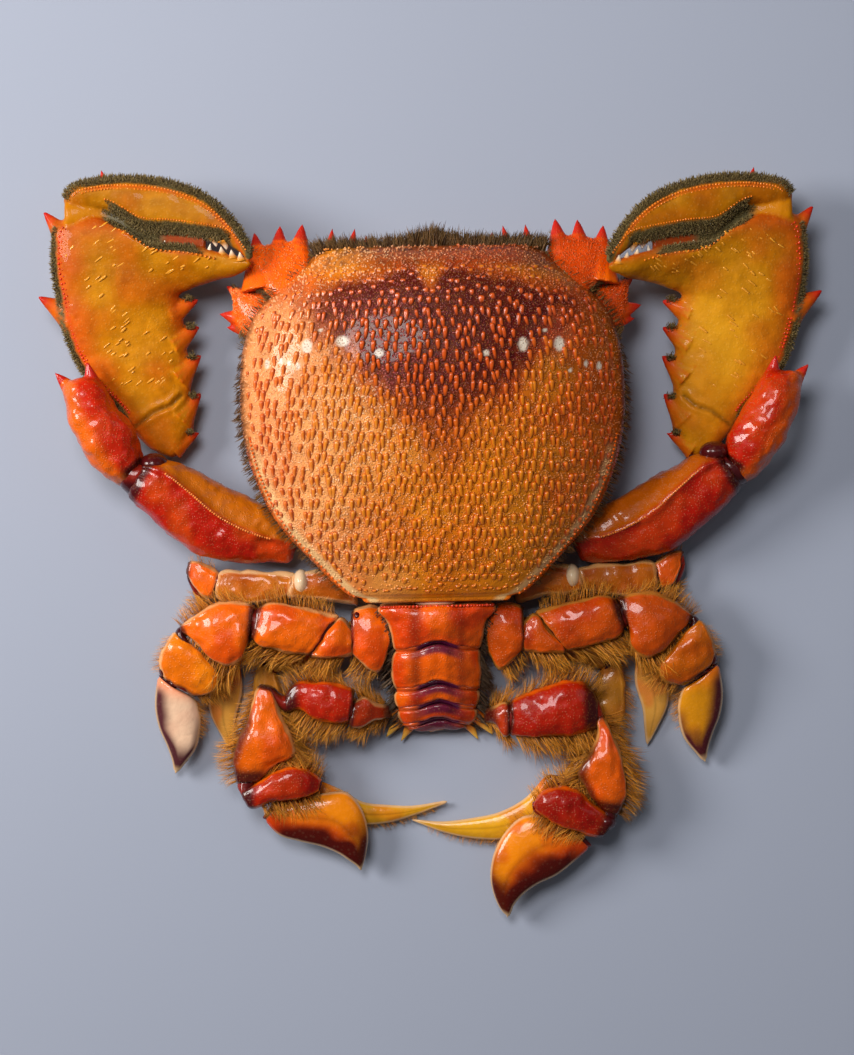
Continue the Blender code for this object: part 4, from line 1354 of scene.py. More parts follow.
class Bristles:
    """Roots, directions, lengths and colours of many bristles."""

    def __init__(self, seed):
        self.draw = np.random.default_rng(seed)
        self.roots = []
        self.ways = []
        self.lengths = []
        self.tints = []

    def add(self, roots, ways, lengths, tint, clump=0.0, along=None, spread=0.2):
        """Bristles from roots, gathered into tufts where clump is a distance along their line."""
        count = len(roots)
        if not count:
            return
        ways = ways / np.maximum(np.linalg.norm(ways, axis=1, keepdims=True), 1e-9)
        ways = ways + self.draw.normal(0, spread, (count, 3))
        lengths = lengths * self.draw.uniform(0.5, 1.2, count)
        tips = roots + ways / np.linalg.norm(ways, axis=1, keepdims=True) * lengths[:, None]
        if clump > 0 and along is not None:
            group = np.floor(along / clump + 0.35 * np.sin(along * 1.7)).astype(int)
            for one in np.unique(group):
                inside = group == one
                shift = self.draw.normal(0, 0.10, 3) * lengths[inside].mean()
                middle = tips[inside].mean(axis=0) + shift
                tips[inside] += (middle - tips[inside]) * TUFT_PULL
        ways = tips - roots
        self.roots.append(roots)
        self.ways.append(ways / np.linalg.norm(ways, axis=1, keepdims=True))
        self.lengths.append(np.linalg.norm(tips - roots, axis=1))
        tint = np.asarray(tint, float)
        shade = self.draw.uniform(0.6, 1.4, (count, 1))
        dark = self.draw.uniform(0, 1, (count, 1)) < DARK_SHARE
        self.tints.append(np.broadcast_to(tint, (count, 3)) * shade * np.where(dark, DARK_STRAND, 1.0))

    def build(self, name, slot, thick, bend, material):
        roots = np.concatenate(self.roots)
        ways = np.concatenate(self.ways)
        lengths = np.concatenate(self.lengths)
        sizes = np.repeat(lengths[:, None], 3, axis=1)
        aims = self.draw.normal(0, 1, (len(roots), 3)) + (0.0, 0.0, -1.2)
        low = roots[:, 2] + ways[:, 2] * lengths < 0.3
        ways[low, 2] = (0.3 - roots[low, 2]) / lengths[low]
        tints = np.concatenate(self.tints)
        return scatter(name, bristle_unit(thick, bend), roots, ways, aims, sizes, tints, material, slot)


def fringe(
    bristles,
    rows,
    side,
    stretch,
    per_mm,
    length,
    tint,
    lean=0.35,
    lift=0.1,
    clump=1.7,
    inset=0.04,
    low=0.0,
):
    """Bristles along one edge of a plate, pointing away from it and leaning towards its far end."""
    start, stop = stretch
    draw = bristles.draw
    ribs, total = between(rows, 60)
    count = int(total * (stop - start) * per_mm)
    share = np.sort(draw.uniform(start, stop, count))
    picked, near, far, index = ribs_at(ribs, share * 59, side)
    away = near - far
    away /= np.maximum(np.linalg.norm(away, axis=1, keepdims=True), 1e-6)
    middle = (ribs[:, 0:2] + ribs[:, 2:4]) / 2
    onward = middle[index + 1] - middle[index]
    onward /= np.maximum(np.linalg.norm(onward, axis=1, keepdims=True), 1e-6)
    wide = np.linalg.norm(near - far, axis=1, keepdims=True)
    flat = near - away * (inset * wide + draw.uniform(0, 1.2, (count, 1)))
    height = picked[:, 4] + draw.uniform(-0.35, 0.45, count) * picked[:, 5] - low
    roots = np.column_stack([flat, height])
    ways = np.column_stack([away + onward * lean, np.full(count, lift)])
    within = np.clip((share - start) / max(stop - start, 1e-6), 0, 1)
    taper = 0.65 + 0.35 * np.sin(np.pi * within)
    bristles.add(roots, ways, length * taper, tint, clump, share * total, 0.16)


SHELL_ROWS = [(-w, y, w, y, z, rise, drop) for y, w, z, rise, drop in SHELL]
SHELL_RIBS = between(SHELL_ROWS, 240)[0]
SHELL_POWER = 0.92

# The patch's half width at distances forward
PATCH = (
    (-30.0, -12.0),
    (-16.0, 0.0),
    (-6.0, 7.0),
    (6.0, 16.0),
    (16.0, 26.0),
    (24.0, 34.0),
    (38.0, 42.0),
    (47.0, 38.0),
    (52.0, 34.0),
)

# Knobs at the joints: x, y, z, half width, half length, half height, then 0 for dark or 1 for pale
KNOBS = (
    (-92.4, -12.4, 17.0, 5.0, 3.8, 5.5, 0),
    (-26.3, -64.0, 15.0, 1.8, 2.4, 4.5, 0),
    (-90.8, -80.6, 10.0, 2.0, 2.8, 4.0, 0),
    (-44.8, -52.4, 11.0, 3.0, 4.4, 5.6, 1),
    (-62.5, -122.0, 12.0, 3.6, 3.0, 4.6, 0),
)

# Where the last knob lies on the right, and the centre and radii of the membrane before the tail
RIGHT_LAST_KNOB = (-54.3, -133.8)
MEMBRANE = ((-0.6, -59.8, 22.0), (6.8, 0.9, 3.2))

# Distances forward of the grooves between the breast plates
BREAST_GROOVES = (-34.0, -20.0, -6.0, 8.0, 22.0)


def shell_profile(x, y):
    """Half width of the shell and height of its upper face at points."""
    half = np.interp(y, SHELL_RIBS[:, 1], SHELL_RIBS[:, 2])
    rim = np.interp(y, SHELL_RIBS[:, 1], SHELL_RIBS[:, 4])
    rise = np.interp(y, SHELL_RIBS[:, 1], SHELL_RIBS[:, 5])
    cosine = np.clip(np.abs(x) / half, 0.0, 1.0) ** (1.0 / SHELL_POWER)
    return half, rim + rise * np.sqrt(1.0 - cosine**2) ** SHELL_POWER


def shell_normal(x, y):
    """Directions out of the shell's upper face at points."""
    step = 0.4
    dx = (shell_profile(x + step, y)[1] - shell_profile(x - step, y)[1]) / (2 * step)
    dy = (shell_profile(x, y + step)[1] - shell_profile(x, y - step)[1]) / (2 * step)
    out = np.column_stack([-dx, -dy, np.ones_like(dx)])
    return out / np.linalg.norm(out, axis=1, keepdims=True)


def patch_share(x, y, seed=3):
    """How maroon the shell is at a point."""
    spots = np.column_stack([x, y, np.zeros_like(x)])
    streaks = cloud(np.column_stack([x / 1.6, y / 5.5, np.zeros_like(x)]), 1.0, seed + 2)
    soft = cloud(spots, 8.0, seed) * 0.4 + cloud(spots, 2.6, seed + 1) * 0.25 + streaks * 0.35
    places = np.array(PATCH)
    half = np.interp(y, places[:, 0], places[:, 1])
    inside = smooth(-9.0, 13.0, half + 4.0 - np.abs(x - 4.0) + (soft - 0.5) * 22.0)
    inside = inside * (0.66 + 0.34 * smooth(-8.0, 14.0, y))
    front = 49.0 + 2.2 * hump(np.abs(x - 0.6) - 8.0, 4.5) - 6.0 * hump(x, 3.0) - 0.004 * x**2
    return inside * smooth(-1.5, 4.5, front - y + (soft - 0.5) * 5.0)


def shell_tint(x, y, edge, settings):
    """Colour and grain of the shell's upper face, with painted light on its left side and painted shade on
    its right.
    """
    spots = np.column_stack([x, y, np.zeros_like(x)])
    broad = cloud(spots, 13.0, 21)
    small = cloud(spots, 3.2, 22)
    flank = smooth(30.0, 52.0, np.abs(x) + (broad - 0.5) * 16.0) * smooth(-52.0, -18.0, y)
    tint = blend(settings.rear_color, settings.side_color, flank)
    # Front band: its own darker colour, painted paler ochre on the left as light and left dark on the right
    # as shade
    brow = blend(SHELL_FRONT, linear(246, 156, 34), smooth(20.0, 38.0, 6.0 - x))
    tint = blend(tint, brow, 0.9 * smooth(45.0, 51.0, y))
    tint = blend(tint, LEG_RED, 0.30 * smooth(0.55, 0.95, broad))
    share = patch_share(x, y)
    halo = patch_share(x * 0.86, y * 0.97 - 1.2, 9)
    # Painted light: a pale peach sheen over the left of the shell behind its front, where the light from the
    # left falls
    lit = 0.56 * smooth(2.0, -44.0, x + (broad - 0.5) * 14.0) * smooth(46.0, 34.0, y)
    tint = blend(tint, linear(255, 188, 126), lit)
    # Painted shade: darker towards the right, away from the light
    shaded = 1.0 - 0.36 * smooth(8.0, 56.0, x) - 0.20 * smooth(16.0, 44.0, x) * smooth(4.0, 30.0, y)
    tint = tint * shaded[:, None]
    tint = blend(tint, linear(186, 60, 14), 0.6 * halo)
    deep = blend(linear(134, 16, 6), settings.patch_color, smooth(0.4, 1.0, share))
    deep = blend(deep, linear(66, 0, 12), 0.7 * smooth(26.0, 4.0, np.hypot(x - 8.0, (y - 33.0) * 1.2)))
    tint = blend(tint, deep, share * (0.86 + 0.14 * small))
    stripe = smooth(6.0, 3.6, edge) * smooth(1.4, 2.0, edge) * smooth(-4.0, -16.0, y)
    # The cream stripe is the shell's own; its fading a little towards the right is painted shade
    tint = blend(tint, STRIPE_CREAM, 0.85 * (stripe * (1.0 - 0.2 * smooth(0.0, 20.0, x))))
    tint = blend(tint, LEG_ORANGE, 0.8 * smooth(1.6, 0.9, edge) * smooth(-4.0, -12.0, y))
    tint = blend(tint, linear(120, 60, 26), 0.5 * smooth(2.5, 0.8, edge) * smooth(-8.0, 0.0, y))
    for cx, cy, rx, ry in SHELL_SPOTS:
        away = np.hypot((x - cx) / rx, (y - cy) / ry)
        tint = blend(tint, SPOT_WHITE, 0.92 * smooth(1.25, 0.75, away))
    fine = cloud(spots, 0.9, 23)
    tint = blend(tint, linear(96, 40, 14), 0.55 * smooth(47.0, 51.0, y) * smooth(0.45, 0.8, fine))
    grain = 0.72 + 0.28 * np.clip(smooth(46.0, 50.0, y) + share, 0, 1) - 0.5 * smooth(-46.0, -54.0, y)
    return tint * (0.80 + 0.24 * small + 0.16 * fine)[:, None], np.clip(grain, 0.05, 1.0)


def plate_tint(
    plate, base, seed, belly=BELLY, rim=None, rim_mm=0.8, start=0.0, end=0.0, wash=None, wash_share=0.5
):
    """Usual colouring of a limb plate: mottled, paler below, with rims and dark ends."""
    flat = plate.grid.reshape(-1, 3)
    broad = cloud(flat, 7.0, seed).reshape(plate.u.shape)
    small = cloud(flat, 2.0, seed + 1).reshape(plate.u.shape)
    tint = np.broadcast_to(np.asarray(base, float), (*plate.u.shape, 3))
    if wash is not None:
        tint = blend(tint, wash, wash_share * smooth(0.35, 0.75, broad))
    tint = tint * (0.80 + 0.28 * small + 0.12 * broad)[:, :, None]
    tint = blend(tint, belly, 0.75 * smooth(-0.1, -0.6, plate.top))
    if rim is not None:
        near = np.minimum(plate.edge_mm, np.minimum(plate.from_start, plate.from_end) + 0.3)
        border = 0.8 * smooth(rim_mm + 0.4, rim_mm * 0.5, near) * smooth(-0.2, 0.1, plate.top)
        tint = blend(tint, rim, border)
    for size, place in ((start, plate.from_start), (end, plate.from_end)):
        if size:
            share = 0.95 * smooth(size, size * 0.45, place + (broad - 0.5) * size * 0.5)
            tint = blend(tint, JOINT_DARK, share)
    return tint


def ball(center, radii):
    """A closed egg shape: points and faces."""
    sides, rings = 18, 12
    points = []
    for ring in range(1, rings):
        angle = math.pi * ring / rings
        for step in range(sides):
            turn = 2 * math.pi * step / sides
            wide = math.sin(angle)
            points.append((wide * math.cos(turn), wide * math.sin(turn), math.cos(angle)))
    points += [(0, 0, 1), (0, 0, -1)]
    return np.array(points) * radii + center, closed_rings(rings - 1, sides)


def skin(first, second, scale=0.95, reach=1.8):
    """Ribs of the soft joint between the end of one plate and the start of the next."""
    a = np.array(first[-1], float)
    b = np.array(second[0], float)
    straight = np.linalg.norm(a[0:2] - b[0:2]) + np.linalg.norm(a[2:4] - b[2:4])
    crossed = np.linalg.norm(a[0:2] - b[2:4]) + np.linalg.norm(a[2:4] - b[0:2])
    if straight > crossed:
        b[0:4] = b[[2, 3, 0, 1]]
    rows = []
    for rib, inner in ((a, np.array(first[-2], float)), (b, np.array(second[1], float))):
        middle = (rib[0:2] + rib[2:4]) / 2
        other = (inner[0:2] + inner[2:4]) / 2
        way = (other - middle) / np.linalg.norm(other - middle)
        small = rib.copy()
        small[0:2] = middle + (rib[0:2] - middle) * scale
        small[2:4] = middle + (rib[2:4] - middle) * scale
        small[5:7] *= scale
        deep = small.copy()
        deep[0:2] += way * reach
        deep[2:4] += way * reach
        rows += [deep, small] if rib is a else [small, deep]
    return rows


LEFT_LEGS = {
    "second": (SECOND_BASE, SECOND_THIGH, SECOND_SHIN, SECOND_FOOT, SECOND_BLADE),
    "third": (THIRD_THIGH, THIRD_SHIN, THIRD_BLADE),
    "fourth": (FOURTH_HIP, FOURTH_KNEE, FOURTH_THIGH, FOURTH_SHIN, FOURTH_FOOT, FOURTH_BLADE),
    "fifth": (LEFT_FIFTH_HIP, LEFT_FIFTH_THIGH, LEFT_FIFTH_SHIN, LEFT_FIFTH_FOOT, LEFT_FIFTH_BLADE),
}
RIGHT_LEGS = {
    "second": tuple(mirrored(rows) for rows in LEFT_LEGS["second"]),
    "third": (mirrored(THIRD_THIGH), mirrored(THIRD_SHIN), RIGHT_THIRD_BLADE),
    "fourth": tuple(mirrored(rows) for rows in LEFT_LEGS["fourth"]),
    "fifth": (RIGHT_FIFTH_HIP, RIGHT_FIFTH_THIGH, RIGHT_FIFTH_SHIN, RIGHT_FIFTH_FOOT, RIGHT_FIFTH_BLADE),
}
LEG_NAMES = {
    "second": ("base", "thigh", "shin", "foot", "blade"),
    "third": ("thigh", "shin", "blade"),
    "fourth": ("hip", "knee", "thigh", "shin", "foot", "blade"),
    "fifth": ("hip", "thigh", "shin", "foot", "blade"),
}
SIDES = (("left", LEFT_LEGS, same, same), ("right", RIGHT_LEGS, mirrored, mirrored_spines))
TAIL = (TAIL_1, TAIL_2, TAIL_3, TAIL_4, TAIL_5)


def settings_of(name):
    """One of the settings groups that the panel shows."""
    return getattr(bpy.context.scene, name)


# Settings of each wet finish
WET_FINISHES = {
    "Crab back": {
        "grain_mm": 0.72,
        "grain_height": 0.55,
        "speck": linear(255, 170, 96),
        "speck_share": 0.4,
        "rough": 0.30,
        "coat": 0.30,
        "shine": 0.14,
    },
    "Crab bumps": {
        "grain_mm": 0.6,
        "grain_height": 0.05,
        "speck_share": 0.1,
        "rough": 0.30,
        "mottle": 0.15,
        "coat": 0.6,
    },
    "Crab limb": {
        "grain_mm": 0.8,
        "grain_height": 0.2,
        "speck": linear(255, 176, 80),
        "speck_share": 0.16,
        "rough": 0.27,
        "coat": 0.42,
    },
    "Crab hand": {
        "grain_mm": 1.1,
        "grain_height": 0.10,
        "speck": linear(252, 214, 110),
        "speck_share": 0.12,
        "rough": 0.42,
        "coat": 0.10,
        "shine": 0.08,
    },
    "Crab blade": {
        "grain_mm": 1.6,
        "grain_height": 0.03,
        "speck_share": 0.08,
        "rough": 0.22,
        "mottle": 0.15,
        "coat": 0.4,
    },
}


def finish_named(name):
    """The material of that name, made once."""
    found = bpy.data.materials.get(name)
    if found:
        return found
    if name == "Crab hair":
        return hair_finish(name)
    return wet_shell(name, **WET_FINISHES[name])


def deeper(rows, back, wide):
    """The same spines, rooted further back and wider, so that they grow out of their plate as ridges."""
    out = []
    for row in rows:
        root = np.array(row[0:3], float)
        tip = np.array(row[3:6], float)
        root -= (tip - root) / np.linalg.norm(tip - root) * back
        out.append((*root, *tip, row[6] * wide))
    return tuple(out)


# Ribs, spines, depth of the spines' roots, their widening, and seed for each pair of lobes
LOBES = ((BROW_LOBE, BROW_SPINES, 9.0, 1.65, 31), (CHEEK_LOBE, CHEEK_SPINES, 6.0, 1.8, 32))


def build_back():
    """The domed back plate with its lobes, front spines and beak."""
    settings = settings_of("crab_shell")
    plate = Plate(SHELL_ROWS, step=0.5, top=220, bottom=26, edge=2.2, round_power=SHELL_POWER)
    flat = plate.grid.reshape(-1, 3)
    tint, grain = shell_tint(flat[:, 0], flat[:, 1], plate.edge_mm.ravel(), settings)
    below = smooth(-0.02, -0.25, plate.top.ravel())
    tint = blend(tint, BELLY, below)
    heap = Heap()
    heap.add_plate(plate, tint.reshape(*plate.u.shape, 3), grain.reshape(plate.u.shape))
    for turn, spines in ((same, same), (mirrored, mirrored_spines)):
        for rows, horns, back, wide, seed in LOBES:
            lobes = Heap()
            lobe = Plate(turn(rows), step=0.7, top=30, bottom=14, edge=1.6)
            # Painted light on the left lobes, painted shade on the right ones
            light = LOBE_PAINTED_LIGHT if turn is same else LOBE_PAINTED_SHADE
            shade = plate_tint(lobe, LOBE_RED, seed, wash=LEG_ORANGE, wash_share=0.6) * light
            lobes.add_plate(lobe, shade, 0.9)
            add_horns(lobes, spines(deeper(horns, back, wide)), LEG_ORANGE, SPINE_TIP, flare=0.0)
            heap.absorb(lobes.fused(0.45, 5))
        add_horns(heap, spines(deeper(FRONT_SPINES, 3.0, 1.5)), LEG_ORANGE, SPINE_TIP, flare=0.4)
    add_horns(heap, ROSTRUM, SHELL_FRONT, SPINE_TIP, flare=0.4)
    heap.build("back_plate", finish_named("Crab back"), "shell", ["carapace"])


def build_bumps():
    """Drop-shaped bumps in offset rows over the back, with dark feet and sides: partly their own darker
    outline, partly painted shade.
    """
    settings = settings_of("crab_shell")
    draw = np.random.default_rng(settings.seed)
    across = settings.across_step / MM
    along = settings.along_step / MM
    rows = np.arange(-55.0, 49.5, along)
    spots = []
    for index, y in enumerate(rows):
        line = np.arange(-62.0, 62.1, across) + (across / 2 if index % 2 else 0.0)
        spots.append(np.column_stack([line, np.full(len(line), y)]))
    spots = np.concatenate(spots)
    spots += draw.normal(0, 0.6, spots.shape)
    x, y = spots.T
    half, _ = shell_profile(x, y)
    edge = half - np.abs(x)
    keep = (edge > 2.4) & (draw.uniform(0, 1, len(x)) > 0.06)
    for cx, cy, rx, ry in SHELL_SPOTS:
        keep &= np.hypot((x - cx) / (rx + 1.0), (y - cy) / (ry + 1.6)) > 1.0
    x, y, edge = x[keep], y[keep], edge[keep]
    _, z = shell_profile(x, y)
    outs = shell_normal(x, y)
    sideways = np.sin(np.radians(draw.normal(0, 6, len(x)))) - x * 0.004
    aims = np.column_stack([sideways, np.ones(len(x)), np.zeros(len(x))])
    long_share = smooth(46.0, 30.0, y) * smooth(-56.0, -46.0, y) * smooth(1.5, 6.0, edge)
    length = 1.3 + (settings.bump_length / MM - 1.3) * long_share
    length *= draw.uniform(0.8, 1.15, len(x))
    width = settings.bump_width / MM * (0.85 + 0.25 * smooth(34.0, 44.0, y))
    width *= draw.uniform(0.85, 1.15, len(x))
    height = settings.bump_height / MM * (0.45 + 0.55 * long_share) * draw.uniform(0.8, 1.2, len(x))
    share = patch_share(x, y)
    redder = np.clip(share + smooth(30.0, 54.0, np.abs(x)) * 0.8, 0, 1)
    lit = blend(linear(238, 138, 20), linear(230, 92, 14), redder)
    sizes = np.column_stack([width, length, height])
    places = np.column_stack([x, y, z - 0.03])
    finish = finish_named("Crab bumps")
    obj = scatter("back_bumps", drop_unit(), places, outs, aims, sizes, lit, finish, "shell")
    mesh = obj.data
    count = len(mesh.vertices)
    points = np.empty(count * 3, np.float32)
    mesh.vertices.foreach_get("co", points)
    points = points.reshape(-1, 3) / MM
    rise = np.empty(count, np.float32)
    mesh.attributes["along"].data.foreach_get("value", rise)
    color = np.empty(count * 4, np.float32)
    mesh.attributes["tint"].data.foreach_get("color", color)
    color = color.reshape(-1, 4)
    half, _ = shell_profile(points[:, 0], points[:, 1])
    ground, _ = shell_tint(points[:, 0], points[:, 1], half - np.abs(points[:, 0]), settings)
    foot = blend(linear(176, 46, 10), linear(66, 6, 8), patch_share(points[:, 0], points[:, 1]))
    # Low sides take the ground a little darker and the feet a dark red: partly the bumps' own outline,
    # partly painted shade
    color[:, 0:3] = blend(ground * 0.9, color[:, 0:3], smooth(0.0, 0.7, rise) * 0.85)
    color[:, 0:3] = blend(color[:, 0:3], foot, smooth(0.25, -0.35, rise) * 0.9)
    mesh.attributes["tint"].data.foreach_set("color", color.ravel())


# Grains on the upper face of each lobe
LOBE_GRAINS = 650


def build_granules():
    """Fine grains all over the shell between the bumps, pale in their own colour and painted paler still, as
    light and sheen, where the light from the left meets them.
    """
    settings = settings_of("crab_shell")
    draw = np.random.default_rng(settings.seed + 3)
    x = draw.uniform(-63.5, 63.5, settings.granules * 2)
    y = draw.uniform(-56.0, 56.6, settings.granules * 2)
    half, _ = shell_profile(x, y)
    edge = half - np.abs(x)
    keep = (edge > 1.2) & (draw.uniform(0, 1, len(x)) < 0.25 + 0.75 * smooth(-54.0, -42.0, y))
    for cx, cy, rx, ry in SHELL_SPOTS:
        keep &= np.hypot((x - cx) / (rx + 0.3), (y - cy) / (ry + 0.3)) > 1.0
    x, y, edge = x[keep][: settings.granules], y[keep][: settings.granules], edge[keep][: settings.granules]
    _, z = shell_profile(x, y)
    count = len(x)
    ground, _ = shell_tint(x, y, edge, settings)
    share = patch_share(x, y)
    pale = blend(linear(255, 204, 150), linear(206, 96, 92), share)
    # Painted light and sheen: the grains grow paler towards the left and round a broad spot of sheen
    sheen = np.exp(-(((x + 22.0) / 26.0) ** 2) - ((y - 14.0) / 30.0) ** 2)
    lift = (0.14 + 0.34 * smooth(16.0, -46.0, x) + 0.7 * sheen) * (1.0 - 0.25 * share)
    lift = lift * draw.uniform(0.2, 1.4, count)
    tints = blend(ground * 1.08, pale, np.clip(lift, 0.0, 1.0))
    wide = settings.granule_width / MM * draw.uniform(0.7, 1.25, count)
    wide = wide * (1.0 + 0.25 * smooth(42.0, 50.0, y))
    sizes = np.column_stack([wide, wide, wide * 0.8])
    places = np.column_stack([x, y, z])
    aims = draw.normal(0, 1, (count, 3))
    parts = [places], [shell_normal(x, y)], [sizes], [tints]
    for turn in (same, mirrored):
        for rows in (BROW_LOBE, CHEEK_LOBE):
            lobe = Plate(turn(rows), step=0.4, top=60, bottom=10, edge=1.6)
            spots = np.argwhere(lobe.top > 0.35)
            spots = spots[draw.choice(len(spots), LOBE_GRAINS, replace=False)]
            normals = lobe.normals()[spots[:, 0], spots[:, 1]]
            found = lobe.grid[spots[:, 0], spots[:, 1]]
            wide = settings.granule_width / MM * draw.uniform(0.6, 1.0, LOBE_GRAINS)
            # Painted light and shade: paler grains on the left lobes, darker grains on the right lobes
            color = linear(255, 176, 96) if turn is same else linear(214, 96, 40)
            parts[0].append(found)
            parts[1].append(normals * np.sign(normals[:, 2:3]))
            parts[2].append(np.column_stack([wide, wide, wide]))
            paler = draw.uniform(0.1, 0.9, LOBE_GRAINS)
            parts[3].append(blend(np.tile(LOBE_RED, (LOBE_GRAINS, 1)), color, paler))
    places, outs, sizes, tints = (np.concatenate(part) for part in parts)
    aims = np.concatenate([aims, draw.normal(0, 1, (len(places) - count, 3))])
    finish = finish_named("Crab bumps")
    scatter("back_granules", granule_unit(), places, outs, aims, sizes, tints, finish, "shell")


def near_line(x, y, line):
    """Distance of points from a bent line."""
    spots = np.stack([x, y], axis=-1)
    found = np.full(x.shape, 1e9)
    for start, end in zip(line, line[1:]):
        start, end = np.array(start), np.array(end)
        way = end - start
        share = np.clip(((spots - start) * way).sum(axis=-1) / (way @ way), 0.0, 1.0)
        found = np.minimum(found, np.linalg.norm(spots - start - way * share[..., None], axis=-1))
    return found


def edge_place(rows, side, x):
    """Place and height of a plate's edge where it passes x, from its ribs."""
    rows = np.array(rows)
    first = 0 if side == "A" else 2
    order = np.argsort(rows[:, first])
    return [float(np.interp(x, rows[order, first], rows[order, column])) for column in (first + 1, 4)]


def web_rows():
    """Ribs of the felted web that closes the left claw's gap near its hinge."""
    rows = []
    for x in WEB_STEPS:
        high, high_z = edge_place(CLAW_FINGER, "B", x)
        low, low_z = edge_place(CLAW_PALM[7:], "A", x)
        hinge = min(max((-104.0 - x) / 12.0, 0.0), 1.0)
        reach = 1.6 + 2.4 * hinge
        rows.append((x, high + reach, x, low - reach, (high_z + low_z) / 2, 1.6 + 3.2 * hinge, 2.5 + hinge))
    return tuple(rows)


def hand_tint(plate, settings, seed, finger=False):
    """Ochre of the palm or the finger, with the olive ground of its felt along the edges."""
    flat = plate.grid.reshape(-1, 3)
    shape = plate.u.shape
    broad = cloud(flat, 9.0, seed).reshape(shape)
    small = cloud(flat, 1.6, seed + 1).reshape(shape)
    redder = (0.35 if finger else 0.55) * smooth(0.35, 0.8, broad)
    tint = blend(settings.ochre_color, linear(212, 92, 14), redder)
    tint = blend(tint, linear(226, 150, 22), 0.5 * smooth(0.45, 0.2, broad))
    if not finger:
        tint = blend(tint, linear(216, 84, 14), 0.7 * smooth(0.36, 0.08, plate.v))
        inner = 0.6 * smooth(0.86, 1.0, plate.v) * smooth(0.75, 0.5, plate.u)
        tint = blend(tint, linear(220, 70, 16), inner)
    # Painted shade: the finger, and the palm towards its front, are darkened because the light falls
    # strongly on them
    shade = 0.78 if finger else 1.0 - 0.16 * smooth(0.4, 0.6, plate.u)
    tint = tint * ((0.84 + 0.30 * small) * shade)[:, :, None]
    wide = plate.edge_mm / np.maximum(np.minimum(plate.v, 1 - plate.v), 1e-3)
    from_a = plate.v * wide
    band = 3.0 if finger else 2.3 + 2.4 * smooth(0.60, 0.68, plate.u) * smooth(0.92, 0.84, plate.u)
    gate = smooth(0.10, 0.16, plate.u)
    if not finger:
        hinge = smooth(0.575, 0.605, plate.u) * smooth(0.705, 0.68, plate.u)
        gate = gate * (1.0 - hinge) * smooth(0.92, 0.86, plate.u)
    felt = smooth(0.5, -0.5, from_a - band + (small - 0.5)) * gate
    if finger:
        lower = 3.6 * smooth(0.90, 0.78, plate.u)
        within = smooth(0.5, -0.5, (1 - plate.v) * wide - lower + (small - 0.5))
        felt = np.maximum(felt, within * smooth(0.16, 0.22, plate.u))
    line = smooth(1.8, 1.2, from_a - band) * smooth(0.4, 0.9, from_a - band) * gate
    tint = blend(tint, linear(222, 66, 20), 0.55 * line)
    tint = blend(tint, FELT_OLIVE, felt * smooth(-0.6, -0.1, plate.top))
    return blend(tint, BELLY, 0.7 * smooth(-0.2, -0.7, plate.top))


def build_hands():
    """Each palm with its movable finger, the web between them, the spines and the teeth."""
    settings = settings_of("crab_limb")
    step = settings.fine_step / MM
    for side, _, turn, spines in SIDES:
        heap = Heap()
        palm = Plate(turn(CLAW_PALM, RIGHT_CLAW_BACK), step=step, top=52, bottom=22)
        palm.warp(41, ((9.0, 0.9), (3.0, 0.35)))
        sign, back = (-1.0, RIGHT_CLAW_BACK) if turn is mirrored else (1.0, 0.0)
        away = near_line(palm.grid[:, :, 0] * sign, palm.grid[:, :, 1] + back, PALM_GROOVE)
        above = smooth(0.3, 0.6, palm.top)
        palm.grid[:, :, 2] += above * (0.5 * hump(away - 1.5, 0.8) - 0.7 * hump(away, 0.7))
        color = hand_tint(palm, settings, 41)
        if side == "right":
            x, y = palm.grid[:, :, 0], palm.grid[:, :, 1]
            # Painted highlight: a brighter yellow spot where the right palm's gloss catches the light
            painted_highlight = np.exp(-(((x - 94.0) / 15.0) ** 2) - ((y - 22.0) / 26.0) ** 2)
            color = blend(color, linear(244, 178, 34), 0.6 * painted_highlight * smooth(-0.1, 0.3, palm.top))
        tint = blend(color, linear(92, 70, 20), 0.75 * above * hump(away, 0.6))
        heap.add_plate(palm, tint, 0.5)
        horns = deeper(PALM_SPINES, 0.6, 1.75)
        add_horns(heap, spines(horns, RIGHT_CLAW_BACK), linear(226, 104, 12), SPINE_TIP, low=0.4, flare=0.15)
        finger = Plate(turn(CLAW_FINGER, RIGHT_CLAW_BACK), step=step, top=40, bottom=18)
        heap.add_plate(finger.warp(43, ((7.0, 0.6), (3.0, 0.3))), hand_tint(finger, settings, 43, True), 0.5)
        web = Plate(turn(web_rows(), RIGHT_CLAW_BACK), step=step, top=24, bottom=12, edge=1.0)
        inside = blend(settings.ochre_color, FELT_OLIVE, smooth(0.22, 0.32, web.u))
        heap.add_plate(web, blend(inside, linear(150, 58, 6), smooth(0.66, 0.76, web.u)), 0.3)
        heap.fused(0.5, 3)
        teeth = []
        for x in FINGER_TEETH:
            y, z = edge_place(CLAW_FINGER, "B", x)
            teeth.append((x, y + 1.0, z + 1.0, x + 0.5, y - 2.2, z + 1.2, 1.9))
        for x in PALM_TIP_TEETH:
            y, z = edge_place(CLAW_PALM[7:], "A", x)
            teeth.append((x, y - 1.0, z + 1.0, x - 0.3, y + 1.8, z + 1.6, 1.5))
        foot, tip = linear(232, 150, 40), linear(252, 240, 216)
        add_horns(heap, spines(teeth, RIGHT_CLAW_BACK), foot, tip, sides=8, rings=6)
        foot, tip = linear(240, 220, 180), linear(250, 240, 220)
        add_horns(heap, spines(PALM_TEETH, RIGHT_CLAW_BACK), foot, tip, flare=0.35)
        add_horns(heap, spines(FINGER_SPINES, RIGHT_CLAW_BACK), linear(222, 96, 16), SPINE_TIP, flare=0.4)
        names = ["claw_palm_" + side, "claw_finger_" + side]
        heap.build("hand_" + side, finish_named("Crab hand"), "claw_ochre", names)


def arm_crest(along):
    """Where the ridge on top of the arm lies across it, from the shell (0) to the wrist (1)."""
    return 0.60 - 0.42 * along


